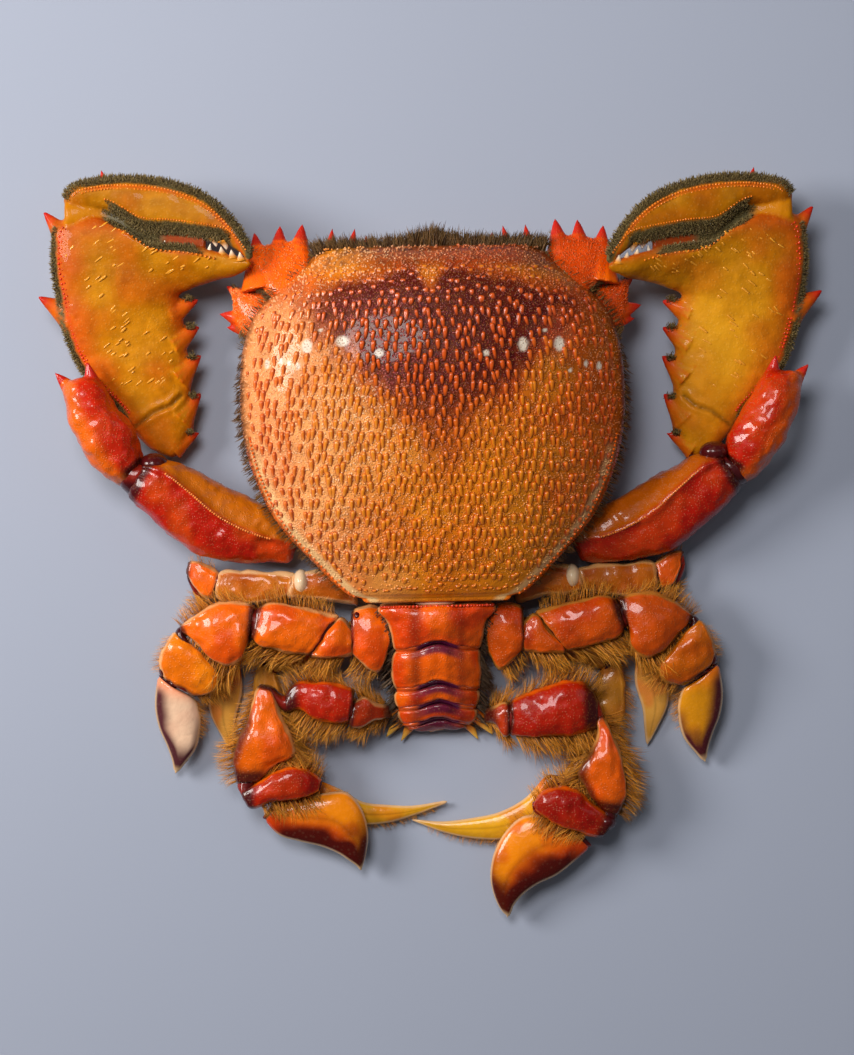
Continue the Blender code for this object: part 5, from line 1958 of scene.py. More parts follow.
def build_arms():
    """The arm and the wrist behind each palm."""
    settings = settings_of("crab_limb")
    step = settings.fine_step / MM
    for side, _, turn, spines in SIDES:
        heap = Heap()
        arm = Plate(turn(CLAW_ARM, ARM_BACK * RIGHT_CLAW_BACK), step=step, top=44, bottom=18)
        # Painted shade on the right arm and wrist
        shade = RIGHT_ARM_PAINTED_SHADE if side == "right" else (1.0, 1.0, 1.0)
        wash = linear(214, 78, 8)
        tint = plate_tint(arm, settings.arm_color, 51, belly=ARM_BELLY, end=5.0, wash=wash, wash_share=0.55)
        crest = arm_crest(arm.u)
        upper = smooth(crest + 0.01, crest - 0.07, arm.v) * smooth(0.96, 0.86, arm.u)
        ridge = ARM_RIDGE * hump(arm.v - crest, 0.06)
        arm.grid[:, :, 2] += ridge * smooth(0.3, 0.6, arm.top) * smooth(0.0, 0.2, arm.u)
        tint = blend(tint, ARM_OCHRE, 0.9 * upper * smooth(-0.3, 0.1, arm.top)) * shade
        heap.add_plate(arm.warp(52, ((8.0, 1.2), (2.6, 0.8), (1.3, 0.3))), tint, 0.6)
        wrist_back = WRIST_BACK * RIGHT_CLAW_BACK
        wrist = Plate(turn(CLAW_WRIST, wrist_back), step=step, top=40, bottom=18)
        tint = plate_tint(wrist, linear(206, 36, 4), 53, wash=linear(232, 84, 10), wash_share=0.6, start=3.0)
        inner = 0.75 * smooth(0.5, 0.8, wrist.v) * smooth(-0.2, 0.2, wrist.top)
        tint = blend(tint, linear(240, 112, 8), inner) * shade
        rough = Heap()
        rough.add_plate(wrist.warp(54, ((7.0, 1.6), (2.4, 0.9), (1.3, 0.4))), tint, 0.9)
        horns = deeper(WRIST_SPINES, 9.0, 1.9)
        add_horns(rough, spines(horns, wrist_back), settings.arm_color, SPINE_TIP, flare=0.0)
        heap.absorb(rough.fused(0.45, 3))
        names = ["claw_arm_" + side, "claw_wrist_" + side]
        heap.build("arm_" + side, finish_named("Crab limb"), "claw_red", names)


# How the tint of a leg plate differs from the usual one
LEG_TINTS = {
    ("second", "base"): {
        "base": linear(206, 112, 14),
        "rim": linear(250, 208, 150),
        "rim_mm": 1.2,
        "wash": linear(170, 70, 8),
        "wash_share": 0.7,
    },
    ("second", "foot"): {"base": linear(216, 146, 44), "wash": linear(190, 96, 20)},
    ("fifth", "hip"): {
        "base": linear(190, 56, 6),
        "rim": PALE_RIM,
        "start": 5.0,
        "end": 2.0,
        "wash": linear(140, 30, 6),
    },
    ("fifth", "thigh"): {
        "base": linear(190, 34, 3),
        "rim": LEG_ORANGE,
        "start": 1.5,
        "end": 7.0,
        "wash": linear(160, 18, 3),
    },
    ("fifth", "shin"): {"rim": PALE_RIM, "start": 2.0, "end": 6.0, "wash": LEG_RED},
    ("fifth", "foot"): {
        "base": linear(168, 18, 2),
        "rim": LEG_ORANGE,
        "start": 5.0,
        "wash": linear(220, 80, 4),
        "wash_share": 0.3,
    },
    ("fourth", "foot"): {
        "base": linear(255, 140, 4),
        "rim": PALE_RIM,
        "end": 1.5,
        "wash": linear(226, 84, 4),
    },
    ("fourth", "shin"): {"rim": PALE_RIM, "start": 3.0, "end": 2.5, "wash": LEG_RED},
    ("fourth", "thigh"): {"rim": PALE_RIM, "end": 3.0, "wash": LEG_RED},
}
LEG_TINTS["second", "thigh"] = LEG_TINTS["second", "base"]
for part in ("thigh", "shin"):
    LEG_TINTS["third", part] = LEG_TINTS["second", "foot"]
USUAL_LEG_TINT = {"rim": PALE_RIM, "end": 1.5, "wash": LEG_RED, "wash_share": 0.6}


def leg_tint(plate, leg, name, settings, seed):
    """Colour of one plate of a leg."""
    plan = {"base": settings.leg_color, **LEG_TINTS.get((leg, name), USUAL_LEG_TINT)}
    tint = plate_tint(plate, seed=seed, **plan)
    if (leg, name) == ("fifth", "shin"):
        outer = 0.85 * smooth(0.30, 0.08, plate.v) * smooth(0.15, 0.4, plate.u)
        tint = blend(tint, BLADE_DARK, outer * smooth(-0.2, 0.2, plate.top))
    return tint


def build_legs():
    """The leg plates of each side, with the two pale ones as a piece of their own."""
    settings = settings_of("crab_limb")
    step = settings.fine_step / MM
    for side, legs, _, _ in SIDES:
        heap = Heap()
        straps = Heap()
        names = []
        strap_names = []
        for number, leg in enumerate(legs):
            for index, (name, rows) in enumerate(zip(LEG_NAMES[leg], legs[leg])):
                if name == "blade":
                    continue
                plate = Plate(longer(rows, 0.7), step=step, top=44, bottom=16, edge=0.8, round_power=0.7)
                tint = leg_tint(plate, leg, name, settings, 61 + number * 7 + index)
                # Painted shade on the right legs
                if side == "right":
                    tint = tint * FOURTH_LEG_PAINTED_SHADE if leg == "fourth" else tint * RIGHT_LEG_PAINTED_SHADE
                pale = leg == "second" and name in ("base", "thigh")
                plate.warp(60 + index, ((7.0, 1.3), (2.4, 0.7), (1.2, 0.22))).rim(0.35)
                (straps if pale else heap).add_plate(plate, tint, 0.55)
                (strap_names if pale else names).append("_".join((leg, name, side)))
        heap.build("legs_" + side, finish_named("Crab limb"), "leg_orange", names)
        straps.build("leg_straps_" + side, finish_named("Crab limb"), "leg_pale", strap_names)


def build_blades():
    """The flat end blades of each side's legs."""
    for side, legs, _, _ in SIDES:
        heap = Heap()
        names = []
        for number, leg in enumerate(legs):
            plate = Plate(legs[leg][-1], step=0.6, top=44, bottom=16, edge=0.9)
            flat = plate.grid.reshape(-1, 3)
            soft = cloud(flat, 5.0, 81 + number).reshape(plate.u.shape)
            glow = {"third": BLADE_YELLOW, "second": linear(222, 160, 66)}.get(leg, BLADE_GLOW)
            # The left fourth blade: its own pale amber, made paler by a painted highlight from the light on
            # the left
            if leg == "fourth":
                glow = linear(255, 212, 176) if side == "left" else linear(216, 140, 14)
            tint = np.broadcast_to(np.asarray(glow), (*plate.u.shape, 3))
            tint = blend(tint, LEG_ORANGE, 0.7 * smooth(0.28, 0.0, plate.u))
            tint = blend(tint, LEG_RED, (0.10 if leg == "fourth" else 0.4) * smooth(0.45, 0.75, soft))
            sway = (soft - 0.5) * 0.25
            dark = {"third": 0.25, "second": 0.1}.get(leg, 1.0)
            far = smooth(0.56, 0.88, plate.u + sway * 0.6)
            outer = smooth(0.46, 0.20, plate.v + sway)
            if leg == "fourth":
                outer = smooth(0.44, 0.10, plate.v + sway * 0.5)
                inner = 0.8 * smooth(0.70, 0.98, plate.v + sway * 0.5) * smooth(0.3, 0.6, plate.u)
                outer = np.maximum(outer, inner)
            tint = blend(tint, LEG_RED, 0.8 * dark * smooth(0.6, 0.26, plate.v + sway) * (leg == "fifth"))
            deep = BLADE_DARK if leg == "fifth" else linear(74, 12, 34)
            tint = blend(tint, deep, dark * np.clip(outer * smooth(0.02, 0.2, plate.u) + far, 0, 0.97))
            ridge = 0.5 * hump(plate.v - 0.5, 0.05) * smooth(0.1, 0.3, plate.u) * smooth(0.98, 0.8, plate.u)
            tint = blend(tint, BLADE_DARK, 0.6 * ridge * (leg != "fourth"))
            rim = smooth(1.0, 0.35, plate.edge_mm) * smooth(0.05, 0.2, plate.u)
            tint = blend(tint, BLADE_EDGE, 0.75 * rim)
            tint = blend(tint, BLADE_EDGE, 0.85 * smooth(3.2, 0.8, plate.from_end))
            tint = blend(tint, BELLY, 0.4 * smooth(-0.1, -0.6, plate.top))
            heap.add_plate(plate, tint, 0.3)
            names.append("_".join((leg, "blade", side)))
        heap.build("blades_" + side, finish_named("Crab blade"), "leg_horn", names)


def build_tail():
    """The tail plates with the small flaps beside the last one."""
    settings = settings_of("crab_limb")
    heap = Heap()
    for index, rows in enumerate(TAIL):
        plate = Plate(rows, step=0.5, top=90, bottom=20, edge=0.8)
        plan = {"rim": PALE_RIM, "rim_mm": 0.6, "wash": LEG_ORANGE, "wash_share": 0.7}
        tint = plate_tint(plate, settings.tail_color, 91 + index, **plan)
        x = plate.grid[:, :, 0]
        tint = blend(tint, linear(120, 20, 8), 0.6 * hump(np.abs(x) - 7.5, 2.2))
        joint = smooth(3.8, 2.4, plate.from_start) * hump(x, 7.6, 4) * (1.0 if index else 0.0)
        tint = blend(tint, TAIL_DARK, 0.92 * joint)
        plate.grid[:, :, 1] += 2.6 * hump(x, 6.0) * (1.0 if index else smooth(0.35, 1.0, plate.u))
        from_ends = np.minimum(plate.from_start, plate.from_end)
        keel = 1.1 * hump(x, 4.5, 4) * smooth(0.2, 0.9, plate.top) * smooth(0.0, 1.2, from_ends)
        plate.grid[:, :, 2] += keel
        heap.add_plate(plate.warp(95, ((6.0, 0.8), (2.2, 0.5))).rim(0.3), tint, 0.6)
    for spines in (same, mirrored_spines):
        add_horns(heap, spines(TAIL_FLAPS), LEG_ORANGE, linear(250, 196, 80), flare=0.2)
    names = ["tail_%d" % (index + 1) for index in range(len(TAIL))]
    heap.build("tail_plates", finish_named("Crab limb"), "tail_red", names)


def build_underside():
    """The underbody with its grooves, the mouth covers and the eye stalks."""
    heap = Heap()
    body = Plate(UNDERBODY, step=0.9, top=60, bottom=90, edge=2.0, floor=0.0)
    x = body.grid[:, :, 0]
    y = body.grid[:, :, 1]
    groove = np.zeros_like(x)
    for place in BREAST_GROOVES:
        across = hump(y + 0.10 * np.abs(x) - place, 0.9) * smooth(3.0, 7.0, np.abs(x))
        groove = np.maximum(groove, across)
    groove = np.maximum(groove, hump(x, 0.9) * smooth(-60.0, -50.0, y) * smooth(34.0, 28.0, y))
    low = smooth(-0.3, -0.7, body.top)
    body.grid[:, :, 2] += 0.9 * groove * low
    tint = plate_tint(body, BELLY, 101, wash=UNDER_ORANGE, wash_share=0.5)
    tint = blend(tint, linear(150, 78, 40), 0.7 * groove * low)
    heap.add_plate(body, tint, 0.4)
    names = ["underbody"]
    small = (("mouth_cover_", MOUTH_COVER, UNDER_ORANGE), ("eye_stalk_", EYE_STALK, linear(190, 80, 30)))
    for side, _, turn, _ in SIDES:
        for name, rows, color in small:
            plate = Plate(turn(rows), step=0.5, top=26, bottom=22, edge=0.9)
            heap.add_plate(plate, plate_tint(plate, color, 103, wash=LEG_RED, belly=color), 0.4)
            names.append(name + side)
    heap.build("underside", finish_named("Crab limb"), "under_pale", names)


def build_joints():
    """The soft skins between plates, the knobs and the pale membrane before the tail."""
    heap = Heap()
    for _, legs, turn, _ in SIDES:
        chains = [list(legs[leg]) for leg in legs]
        arm = turn(CLAW_ARM, ARM_BACK * RIGHT_CLAW_BACK)
        wrist = turn(CLAW_WRIST, WRIST_BACK * RIGHT_CLAW_BACK)
        chains.append([arm, wrist])
        for chain in chains:
            for first, second in zip(chain, chain[1:]):
                plate = Plate(skin(first, second), step=0.7, top=24, bottom=14, edge=0.6)
                tint = plate_tint(plate, JOINT_DARK, 111, wash=LEG_RED, wash_share=0.35, belly=JOINT_DARK)
                heap.add_plate(plate, tint, 0.2)
        sign = -1.0 if turn is mirrored else 1.0
        for x, y, z, rx, ry, rz, pale in KNOBS:
            if sign < 0 and y < -100.0:
                x, y = RIGHT_LAST_KNOB
            points, faces = ball((sign * x, y, z), (rx, ry, rz))
            heap.add(points, faces, linear(236, 206, 166) if pale else linear(74, 12, 14))
    points, faces = ball(*MEMBRANE)
    heap.add(points, faces, linear(240, 224, 200))
    for first, second in zip(TAIL, TAIL[1:]):
        plate = Plate(skin(first, second, 0.97, 1.2), step=0.7, top=60, bottom=16, edge=0.5)
        x = plate.grid[:, :, 0]
        plate.grid[:, :, 1] += 2.6 * hump(x, 6.0)
        heap.add_plate(plate, blend(TAIL_DARK, linear(214, 84, 20), smooth(6.0, 8.0, np.abs(x))), 0.2)
    heap.build("joint_skins", finish_named("Crab blade"), "leg_orange")


def inside_edge(rows, side, inset, count, start=0.0, stop=1.0):
    """Points on a plate's upper face at a distance in from one edge, with normals and directions along."""
    ribs, _ = between(rows, 200)
    picked, near, far, _ = ribs_at(ribs, np.linspace(start, stop, count) * 198.999, side)
    wide = np.linalg.norm(far - near, axis=1)
    share = inset(np.linspace(start, stop, count)) if callable(inset) else np.clip(inset / wide, 0.02, 0.5)
    flat = near + (far - near) * share[:, None]
    cosine = np.abs(1 - 2 * share) ** (1 / 0.85)
    lift = np.sqrt(1 - cosine**2) ** 0.85
    z = picked[:, 4] + picked[:, 5] * lift
    away = (near - far) / wide[:, None]
    slope = picked[:, 5] / wide * 1.2
    outs = np.column_stack([away * slope[:, None], np.ones(count)])
    outs /= np.linalg.norm(outs, axis=1, keepdims=True)
    ways = np.gradient(flat, axis=0)
    ways = np.column_stack([ways, np.zeros(count)])
    return np.column_stack([flat, z]), outs, ways


def build_beads():
    """Rows of beads along the ridges of the claws, the shell's rim and the first tail plate."""
    draw = np.random.default_rng(settings_of("crab_shell").seed + 2)
    places, outs, aims, sizes, tints = [], [], [], [], []

    def line(rows, side, inset, pitch, size, color, start=0.0, stop=1.0):
        _, length = between(rows, 3)
        count = max(4, int(length * (stop - start) / pitch))
        found, normals, ways = inside_edge(rows, side, inset, count, start, stop)
        if callable(inset):
            found[:, 2] += ARM_RIDGE
        places.append(found)
        outs.append(normals)
        aims.append(ways)
        sizes.append(np.array(size) * draw.uniform(0.8, 1.15, (count, 1)))
        tints.append(np.broadcast_to(color, (count, 3)) * draw.uniform(0.8, 1.2, (count, 1)))

    red = linear(226, 60, 22)
    for _, _, turn, _ in SIDES:
        palm = turn(CLAW_PALM, RIGHT_CLAW_BACK)
        finger = turn(CLAW_FINGER, RIGHT_CLAW_BACK)
        amber = linear(244, 130, 24)
        line(palm, "A", 3.2, 1.0, (0.9, 0.9, 0.9), red, 0.14, 0.60)
        line(palm, "A", 4.2, 1.3, (0.6, 0.6, 0.5), red, 0.20, 0.60)
        line(palm, "A", 5.2, 0.95, (0.8, 0.8, 0.8), amber, 0.70, 0.90)
        line(finger, "A", 3.6, 0.95, (0.85, 0.85, 0.8), amber, 0.06, 0.95)
        line(finger, "A", 4.8, 1.1, (0.65, 0.65, 0.55), amber, 0.10, 0.85)
        line(finger, "B", 4.3, 0.95, (0.65, 0.65, 0.6), amber, 0.18, 0.84)
        arm = turn(CLAW_ARM, ARM_BACK * RIGHT_CLAW_BACK)
        line(arm, "A", arm_crest, 0.8, (0.8, 0.8, 1.0), linear(244, 140, 60), 0.15, 0.85)
    for side in ("A", "B"):
        line(SHELL_ROWS, side, 0.7, 1.2, (0.8, 1.0, 0.8), LEG_ORANGE, 0.02, 0.46)
    plate = Plate(TAIL[0], step=0.5, top=90, bottom=20, edge=0.8)
    first = int(np.argmax(plate.from_start[:, 0] > 0.7))
    upper = np.flatnonzero(plate.top[first] > 0.35)[::2]
    normals = plate.normals()[first, upper]
    places.append(plate.grid[first, upper] + (0.0, 0.3, 0.5))
    outs.append(normals * np.sign(normals[:, 2:3]))
    aims.append(np.tile((1.0, 0.0, 0.0), (len(upper), 1)))
    sizes.append(np.array((1.0, 1.0, 1.1)) * draw.uniform(0.7, 1.2, (len(upper), 1)))
    tints.append(np.broadcast_to(red, (len(upper), 3)) * draw.uniform(0.8, 1.2, (len(upper), 1)))
    together = [np.concatenate(part) for part in (places, outs, aims, sizes, tints)]
    scatter("ridge_beads", bead_unit(), *together, finish_named("Crab bumps"), "claw_red")


# Flecks on each palm
PALM_FLECKS = 80


def build_flecks():
    """Short pale raised marks on the wide claws."""
    draw = np.random.default_rng(settings_of("crab_shell").seed + 4)
    places, outs, aims, sizes = [], [], [], []
    for _, _, turn, _ in SIDES:
        palm = Plate(turn(CLAW_PALM, RIGHT_CLAW_BACK), step=1.0, top=52, bottom=10)
        normals = palm.normals()
        good = (palm.top > 0.62) & (palm.u > 0.2) & (palm.u < 0.9) & (palm.edge_mm > 5.0)
        spots = np.argwhere(good)
        area = np.linalg.norm(np.gradient(palm.grid, axis=0), axis=2)
        area = area * np.linalg.norm(np.gradient(palm.grid, axis=1), axis=2)
        weight = area[good] / area[good].sum()
        chosen = spots[draw.choice(len(spots), PALM_FLECKS, replace=False, p=weight)]
        found = palm.grid[chosen[:, 0], chosen[:, 1]]
        up = normals[chosen[:, 0], chosen[:, 1]]
        up = up * np.sign(up[:, 2:3])
        places.append(found)
        outs.append(up)
        sign = -1.0 if turn is mirrored else 1.0
        sideways = 0.8 * sign + draw.normal(0, 0.08, PALM_FLECKS)
        forward = 0.62 + draw.normal(0, 0.1, PALM_FLECKS)
        aims.append(np.column_stack([sideways, forward, np.zeros(PALM_FLECKS)]))
        ranges = ((0.5, 0.9), (1.2, 3.4), (0.10, 0.20))
        sizes.append(np.column_stack([draw.uniform(low, high, PALM_FLECKS) for low, high in ranges]))
    tints = np.broadcast_to(linear(238, 160, 42), (2 * PALM_FLECKS, 3))
    together = [np.concatenate(part) for part in (places, outs, aims, sizes)]
    scatter("palm_flecks", drop_unit(), *together, tints, finish_named("Crab bumps"), "claw_ochre")


# Bristles on the legs: leg, plate, edge, start and stop along it, then density and length as shares
LEG_FRINGES = (
    ("second", "shin", "A", 0.0, 1.0, 0.7, 0.5),
    ("second", "foot", "A", 0.0, 1.0, 1.0, 0.55),
    ("second", "foot", "B", 0.0, 1.0, 1.0, 0.5),
    ("second", "blade", "A", 0.0, 0.5, 1.0, 0.45),
    ("third", "shin", "A", 0.0, 1.0, 1.0, 0.6),
    ("third", "shin", "B", 0.0, 1.0, 1.0, 0.6),
    ("third", "blade", "A", 0.0, 0.9, 1.0, 0.35),
    ("fourth", "thigh", "A", 0.0, 1.0, 1.4, 0.75),
    ("fourth", "thigh", "B", 0.0, 1.0, 1.8, 1.1),
    ("fourth", "knee", "B", 0.0, 1.0, 1.6, 1.0),
    ("fourth", "hip", "B", 0.2, 1.0, 1.6, 0.8),
    ("fourth", "shin", "A", 0.0, 1.0, 1.4, 0.7),
    ("fourth", "shin", "B", 0.0, 1.0, 1.8, 1.1),
    ("fourth", "foot", "B", 0.0, 1.0, 1.6, 0.8),
    ("fourth", "foot", "A", 0.0, 1.0, 1.0, 0.5),
    ("fourth", "blade", "B", 0.0, 0.6, 1.0, 0.45),
    ("fifth", "hip", "A", 0.0, 1.0, 2.4, 0.8),
    ("fifth", "hip", "B", 0.0, 1.0, 2.4, 0.8),
    ("fifth", "thigh", "A", 0.0, 1.0, 1.6, 0.9),
    ("fifth", "thigh", "B", 0.0, 1.0, 1.8, 1.1),
    ("fifth", "shin", "A", 0.0, 1.0, 1.5, 0.8),
    ("fifth", "shin", "B", 0.0, 1.0, 1.8, 1.0),
    ("fifth", "foot", "A", 0.0, 1.0, 1.3, 0.9),
    ("fifth", "foot", "B", 0.2, 1.0, 1.5, 0.9),
    ("fifth", "blade", "B", 0.0, 0.5, 1.0, 0.4),
)


def build_leg_bristles():
    """Long golden bristles along the edges of the leg plates."""
    settings = settings_of("crab_bristles")
    gold = np.array(settings.gold_color)
    length = settings.leg_length / MM
    for side, legs, _, _ in SIDES:
        bristles = Bristles(settings.seed + (1 if side == "right" else 0))
        for leg, name, edge, start, stop, dense, reach in LEG_FRINGES:
            rows = legs[leg][LEG_NAMES[leg].index(name)]
            per_mm = settings.density * dense
            fringe(bristles, rows, edge, (start, stop), per_mm, length * reach, gold, lean=0.55, lift=0.12)
        bristles.build("leg_bristles_" + side, "leg_orange", 0.0115, 0.34, finish_named("Crab hair"))


# The thick row of bristles on the shell's front edge: its length, half width and density against the rim's
FRONT_LENGTH = 76
FRONT_HALF = 37.0
FRONT_DENSITY = 7.0


def build_rim_bristles():
    """Brown and olive bristles round the shell, on its lobes and beside the tail."""
    settings = settings_of("crab_bristles")
    brown = np.array(settings.brown_color)
    bristles = Bristles(settings.seed + 5)
    length = settings.rim_length / MM
    per = settings.density
    rear = {"lean": -0.6, "lift": -0.1, "clump": 1.6, "inset": 0.0, "low": 0.4}
    front = {**rear, "lean": 0.7, "lift": 0.0}
    for side in ("A", "B"):
        fringe(bristles, SHELL_ROWS, side, (0.04, 0.72), per, length * 0.85, brown, **rear)
        fringe(bristles, SHELL_ROWS, side, (0.72, 0.98), per, length * 0.9, BRISTLE_OLIVE, **front)
    count = int(per * FRONT_LENGTH * FRONT_DENSITY)
    x = np.sort(bristles.draw.uniform(-FRONT_HALF, FRONT_HALF, count))
    y = 55.4 + bristles.draw.uniform(-2.6, 1.0, count) - 0.0006 * x**2
    z = 24.2 + bristles.draw.uniform(-0.6, 1.4, count)
    ways = np.column_stack([0.012 * x, np.ones(count), np.full(count, 0.12)])
    reach = length * (1.6 + 0.7 * hump(x, 7.0)) * bristles.draw.uniform(0.6, 1.3, count)
    bristles.add(np.column_stack([x, y, z]), ways, reach, brown, 1.1, x, 0.32)
    for turn in (same, mirrored):
        fringe(bristles, turn(BROW_LOBE), "A", (0.1, 1.0), per * 3.0, length * 0.9, brown, lean=0.4)
        fringe(bristles, turn(BROW_LOBE), "B", (0.1, 1.0), per, length * 1.1, BRISTLE_OLIVE, lean=0.6)
        fringe(bristles, turn(CHEEK_LOBE), "B", (0.1, 1.0), per, length * 0.8, BRISTLE_OLIVE, lean=0.4)
        fringe(bristles, turn(CHEEK_LOBE), "A", (0.1, 1.0), per * 2.0, length * 0.8, brown, lean=0.4)
    for rows in TAIL[:4]:
        lowered = [(*row[:4], row[4] - 1.5, *row[5:]) for row in rows]
        for side in ("A", "B"):
            plan = {"lean": 0.9, "lift": -0.1, "inset": 0.0}
            fringe(bristles, lowered, side, (0.0, 1.0), per * 1.8, length * 1.5, TAIL_HAIR, **plan)
    bristles.build("rim_bristles", "shell", 0.028, 0.12, finish_named("Crab hair"))


# Hairs in the tuft beside each palm spine
TUFT_HAIRS = 150


def build_felt():
    """Short felt in bands along the edges of the claws, and tufts beside the palm's spines."""
    settings = settings_of("crab_bristles")
    length = settings.felt_length / MM
    for side, _, turn, spines in SIDES:
        bristles = Bristles(settings.seed + (8 if side == "right" else 7))
        palm = turn(CLAW_PALM, RIGHT_CLAW_BACK)
        finger = turn(CLAW_FINGER, RIGHT_CLAW_BACK)
        web = turn(web_rows(), RIGHT_CLAW_BACK)
        bands = (
            (palm, "A", 0.12, 0.595, 2.3),
            (palm, "A", 0.69, 0.88, 4.6),
            (finger, "A", 0.02, 0.98, 3.0),
            (finger, "B", 0.17, 0.84, 3.8),
            (web, "A", 0.26, 0.68, 3.6),
            (web, "B", 0.26, 0.68, 3.6),
        )
        for rows, edge, start, stop, band in bands:
            _, total = between(rows, 3)
            for inset in np.arange(0.25, band, 0.42):
                count = int(total * (stop - start) * 6.6)
                found, outs, ways = inside_edge(rows, edge, inset, count, start, stop)
                found += bristles.draw.normal(0, 0.16, found.shape)
                ways /= np.linalg.norm(ways, axis=1, keepdims=True)
                away = np.cross(ways, (0.0, 0.0, 1.0))
                centre = np.array(rows)[:, 0:4].reshape(-1, 2).mean(axis=0)
                away *= np.sign((away[:, 0:2] * (found[:, 0:2] - centre)).sum(axis=1))[:, None]
                lean = max(0.3, 1.1 - inset * 0.3)
                reach = np.full(count, length * max(0.7, 1.35 - 0.22 * inset))
                bristles.add(found, outs * 0.7 + away * lean, reach, FELT_HAIR, spread=0.3)
        for x, y, z, tip_x, tip_y, _, _ in spines(PALM_SPINES[:5], RIGHT_CLAW_BACK):
            middle = np.array((x * 0.4 + tip_x * 0.6, y * 0.4 + tip_y * 0.6 + 1.6, z + 2.2))
            spots = middle + bristles.draw.normal(0, 0.7, (TUFT_HAIRS, 3)) * (1.2, 0.8, 0.5)
            ways = np.tile((0.0, 0.5, 0.6), (TUFT_HAIRS, 1))
            bristles.add(spots, ways, np.full(TUFT_HAIRS, length), FELT_HAIR, spread=0.4)
        bristles.build("claw_felt_" + side, "claw_ochre", 0.13, 0.10, finish_named("Crab hair"))


# The place that the lights point at, and where the camera stands over the floor, in metres
LIT_PLACE = (0.0, -0.03, 0.02)
CAMERA_PLACE = (-0.00273, -0.0351)


def build_stage():
    """Floor, lights, even light from all sides, and camera."""
    settings = settings_of("crab_stage")
    floor = new_object("floor", [(-3, -3, 0), (3, -3, 0), (3, 3, 0), (-3, 3, 0)], [(0, 1, 2, 3)])
    finish = Finish("Plain floor")
    place = finish.node("ShaderNodeTexCoord", output="Object")
    soft = finish.node("ShaderNodeTexNoise", None, {"Vector": place, "Scale": 3.0})
    color = settings.floor_color
    finish.feed("Base Color", finish.mix(color, [part * 0.94 for part in color], soft))
    finish.feed("Roughness", 0.6)
    floor.data.materials.append(finish.material)
    for name, place, size, power, color in (
        ("softbox", (-0.21, 0.31, 0.93), 0.40, settings.key_power, (1.0, 0.97, 0.96)),
        ("key", (-0.80, 0.22, 0.55), 0.40, settings.side_power, (1.0, 0.96, 0.92)),
        ("fill", (0.70, 0.35, 0.80), 0.50, settings.fill_power, (0.92, 0.96, 1.0)),
    ):
        light = bpy.data.lights.new(name, "AREA")
        light.shape = "DISK"
        light.size = size
        light.energy = power
        light.color = color
        lamp = bpy.data.objects.new(name, light)
        lamp.location = place
        way = np.array(LIT_PLACE) - np.array(place)
        tilt = math.acos(-way[2] / np.linalg.norm(way))
        lamp.rotation_euler = (tilt, 0.0, math.atan2(way[1], way[0]) - math.pi / 2)
        bpy.context.scene.collection.objects.link(lamp)
    world = bpy.data.worlds.new("Studio")
    bpy.context.scene.world = world
    world.use_nodes = True
    background = world.node_tree.nodes["Background"]
    background.inputs["Color"].default_value = (0.90, 0.95, 1.0, 1.0)
    background.inputs["Strength"].default_value = settings.sky
    bpy.context.scene.view_settings.view_transform = "Standard"
    data = bpy.data.cameras.new("camera")
    data.lens = 100.0
    data.sensor_width = 36.0
    camera = bpy.data.objects.new("camera", data)
    camera.location = (*CAMERA_PLACE, settings.camera_height)
    camera.rotation_euler = (0.0, 0.0, settings.camera_roll)
    bpy.context.scene.collection.objects.link(camera)
    bpy.context.scene.camera = camera


class CRAB_OT_back(bpy.types.Operator):
    """Make the domed back plate with its lobes and front spines"""

    bl_idname = "crab.back"
    bl_label = "Back plate"

    def execute(self, context):
        build_back()
        return {"FINISHED"}


class CRAB_OT_bumps(bpy.types.Operator):
    """Make the drop-shaped bumps and the fine granules that cover the back"""

    bl_idname = "crab.bumps"
    bl_label = "Back bumps"

    def execute(self, context):
        build_bumps()
        build_granules()
        return {"FINISHED"}


class CRAB_OT_hands(bpy.types.Operator):
    """Make the wide claws with their fingers and teeth"""

    bl_idname = "crab.hands"
    bl_label = "Claw hands"

    def execute(self, context):
        build_hands()
        return {"FINISHED"}


class CRAB_OT_arms(bpy.types.Operator):
    """Make the arms and wrists behind the claws"""

    bl_idname = "crab.arms"
    bl_label = "Claw arms"

    def execute(self, context):
        build_arms()
        return {"FINISHED"}


class CRAB_OT_legs(bpy.types.Operator):
    """Make the leg plates, without their blades"""

    bl_idname = "crab.legs"
    bl_label = "Legs"

    def execute(self, context):
        build_legs()
        return {"FINISHED"}


class CRAB_OT_blades(bpy.types.Operator):
    """Make the flat end blades of the legs"""

    bl_idname = "crab.blades"
    bl_label = "Leg blades"

    def execute(self, context):
        build_blades()
        return {"FINISHED"}


class CRAB_OT_tail(bpy.types.Operator):
    """Make the tail plates"""

    bl_idname = "crab.tail"
    bl_label = "Tail"

    def execute(self, context):
        build_tail()
        return {"FINISHED"}


class CRAB_OT_underside(bpy.types.Operator):
    """Make the underbody, mouth covers and eye stalks"""

    bl_idname = "crab.underside"
    bl_label = "Underside"

    def execute(self, context):
        build_underside()
        return {"FINISHED"}


class CRAB_OT_joints(bpy.types.Operator):
    """Make the soft joints and knobs between the plates"""

    bl_idname = "crab.joints"
    bl_label = "Joints"

    def execute(self, context):
        build_joints()
        return {"FINISHED"}


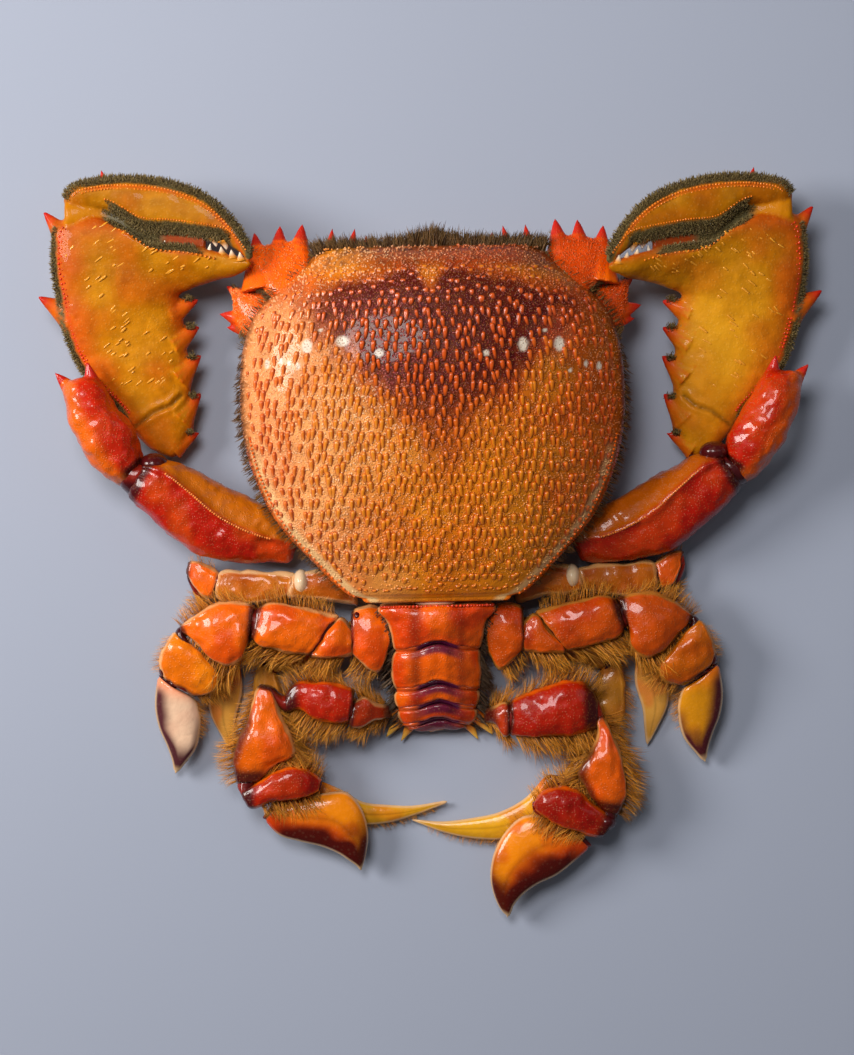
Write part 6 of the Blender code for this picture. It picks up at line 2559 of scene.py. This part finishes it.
class CRAB_OT_beads(bpy.types.Operator):
    """Make the beaded ridges and the pale flecks"""

    bl_idname = "crab.beads"
    bl_label = "Beads and flecks"

    def execute(self, context):
        build_beads()
        build_flecks()
        return {"FINISHED"}


class CRAB_OT_bristles(bpy.types.Operator):
    """Make the bristles of the legs and the shell's rim, and the claws' felt"""

    bl_idname = "crab.bristles"
    bl_label = "Bristles"

    def execute(self, context):
        build_leg_bristles()
        build_rim_bristles()
        build_felt()
        return {"FINISHED"}


class CRAB_OT_stage(bpy.types.Operator):
    """Make the floor, lights and camera"""

    bl_idname = "crab.stage"
    bl_label = "Stage"

    def execute(self, context):
        build_stage()
        return {"FINISHED"}


STEPS = (
    CRAB_OT_back,
    CRAB_OT_bumps,
    CRAB_OT_hands,
    CRAB_OT_arms,
    CRAB_OT_legs,
    CRAB_OT_blades,
    CRAB_OT_tail,
    CRAB_OT_underside,
    CRAB_OT_joints,
    CRAB_OT_beads,
    CRAB_OT_bristles,
    CRAB_OT_stage,
)


class CRAB_PT_panel(bpy.types.Panel):
    """The steps and sizes of the crab, in the 3D view's sidebar"""

    bl_label = "Spanner crab"
    bl_space_type = "VIEW_3D"
    bl_region_type = "UI"
    bl_category = "Crab"

    def draw(self, context):
        for step in STEPS:
            self.layout.operator(step.bl_idname)
        for name, group in GROUPS:
            box = self.layout.box()
            for key in group.__annotations__:
                box.prop(getattr(context.scene, name), key)


GROUPS = (
    ("crab_shell", CrabShellSettings),
    ("crab_limb", CrabLimbSettings),
    ("crab_bristles", CrabBristleSettings),
    ("crab_stage", CrabStageSettings),
)
CLASSES = tuple(group for _, group in GROUPS) + STEPS + (CRAB_PT_panel,)


def register():
    for one in CLASSES:
        bpy.utils.register_class(one)
    for name, group in GROUPS:
        setattr(bpy.types.Scene, name, PointerProperty(type=group))


def unregister():
    for name, _ in GROUPS:
        delattr(bpy.types.Scene, name)
    for one in reversed(CLASSES):
        bpy.utils.unregister_class(one)


def main():
    register()
    for step in STEPS:
        place, name = step.bl_idname.split(".")
        getattr(getattr(bpy.ops, place), name)()


if __name__ == "__main__":
    main()
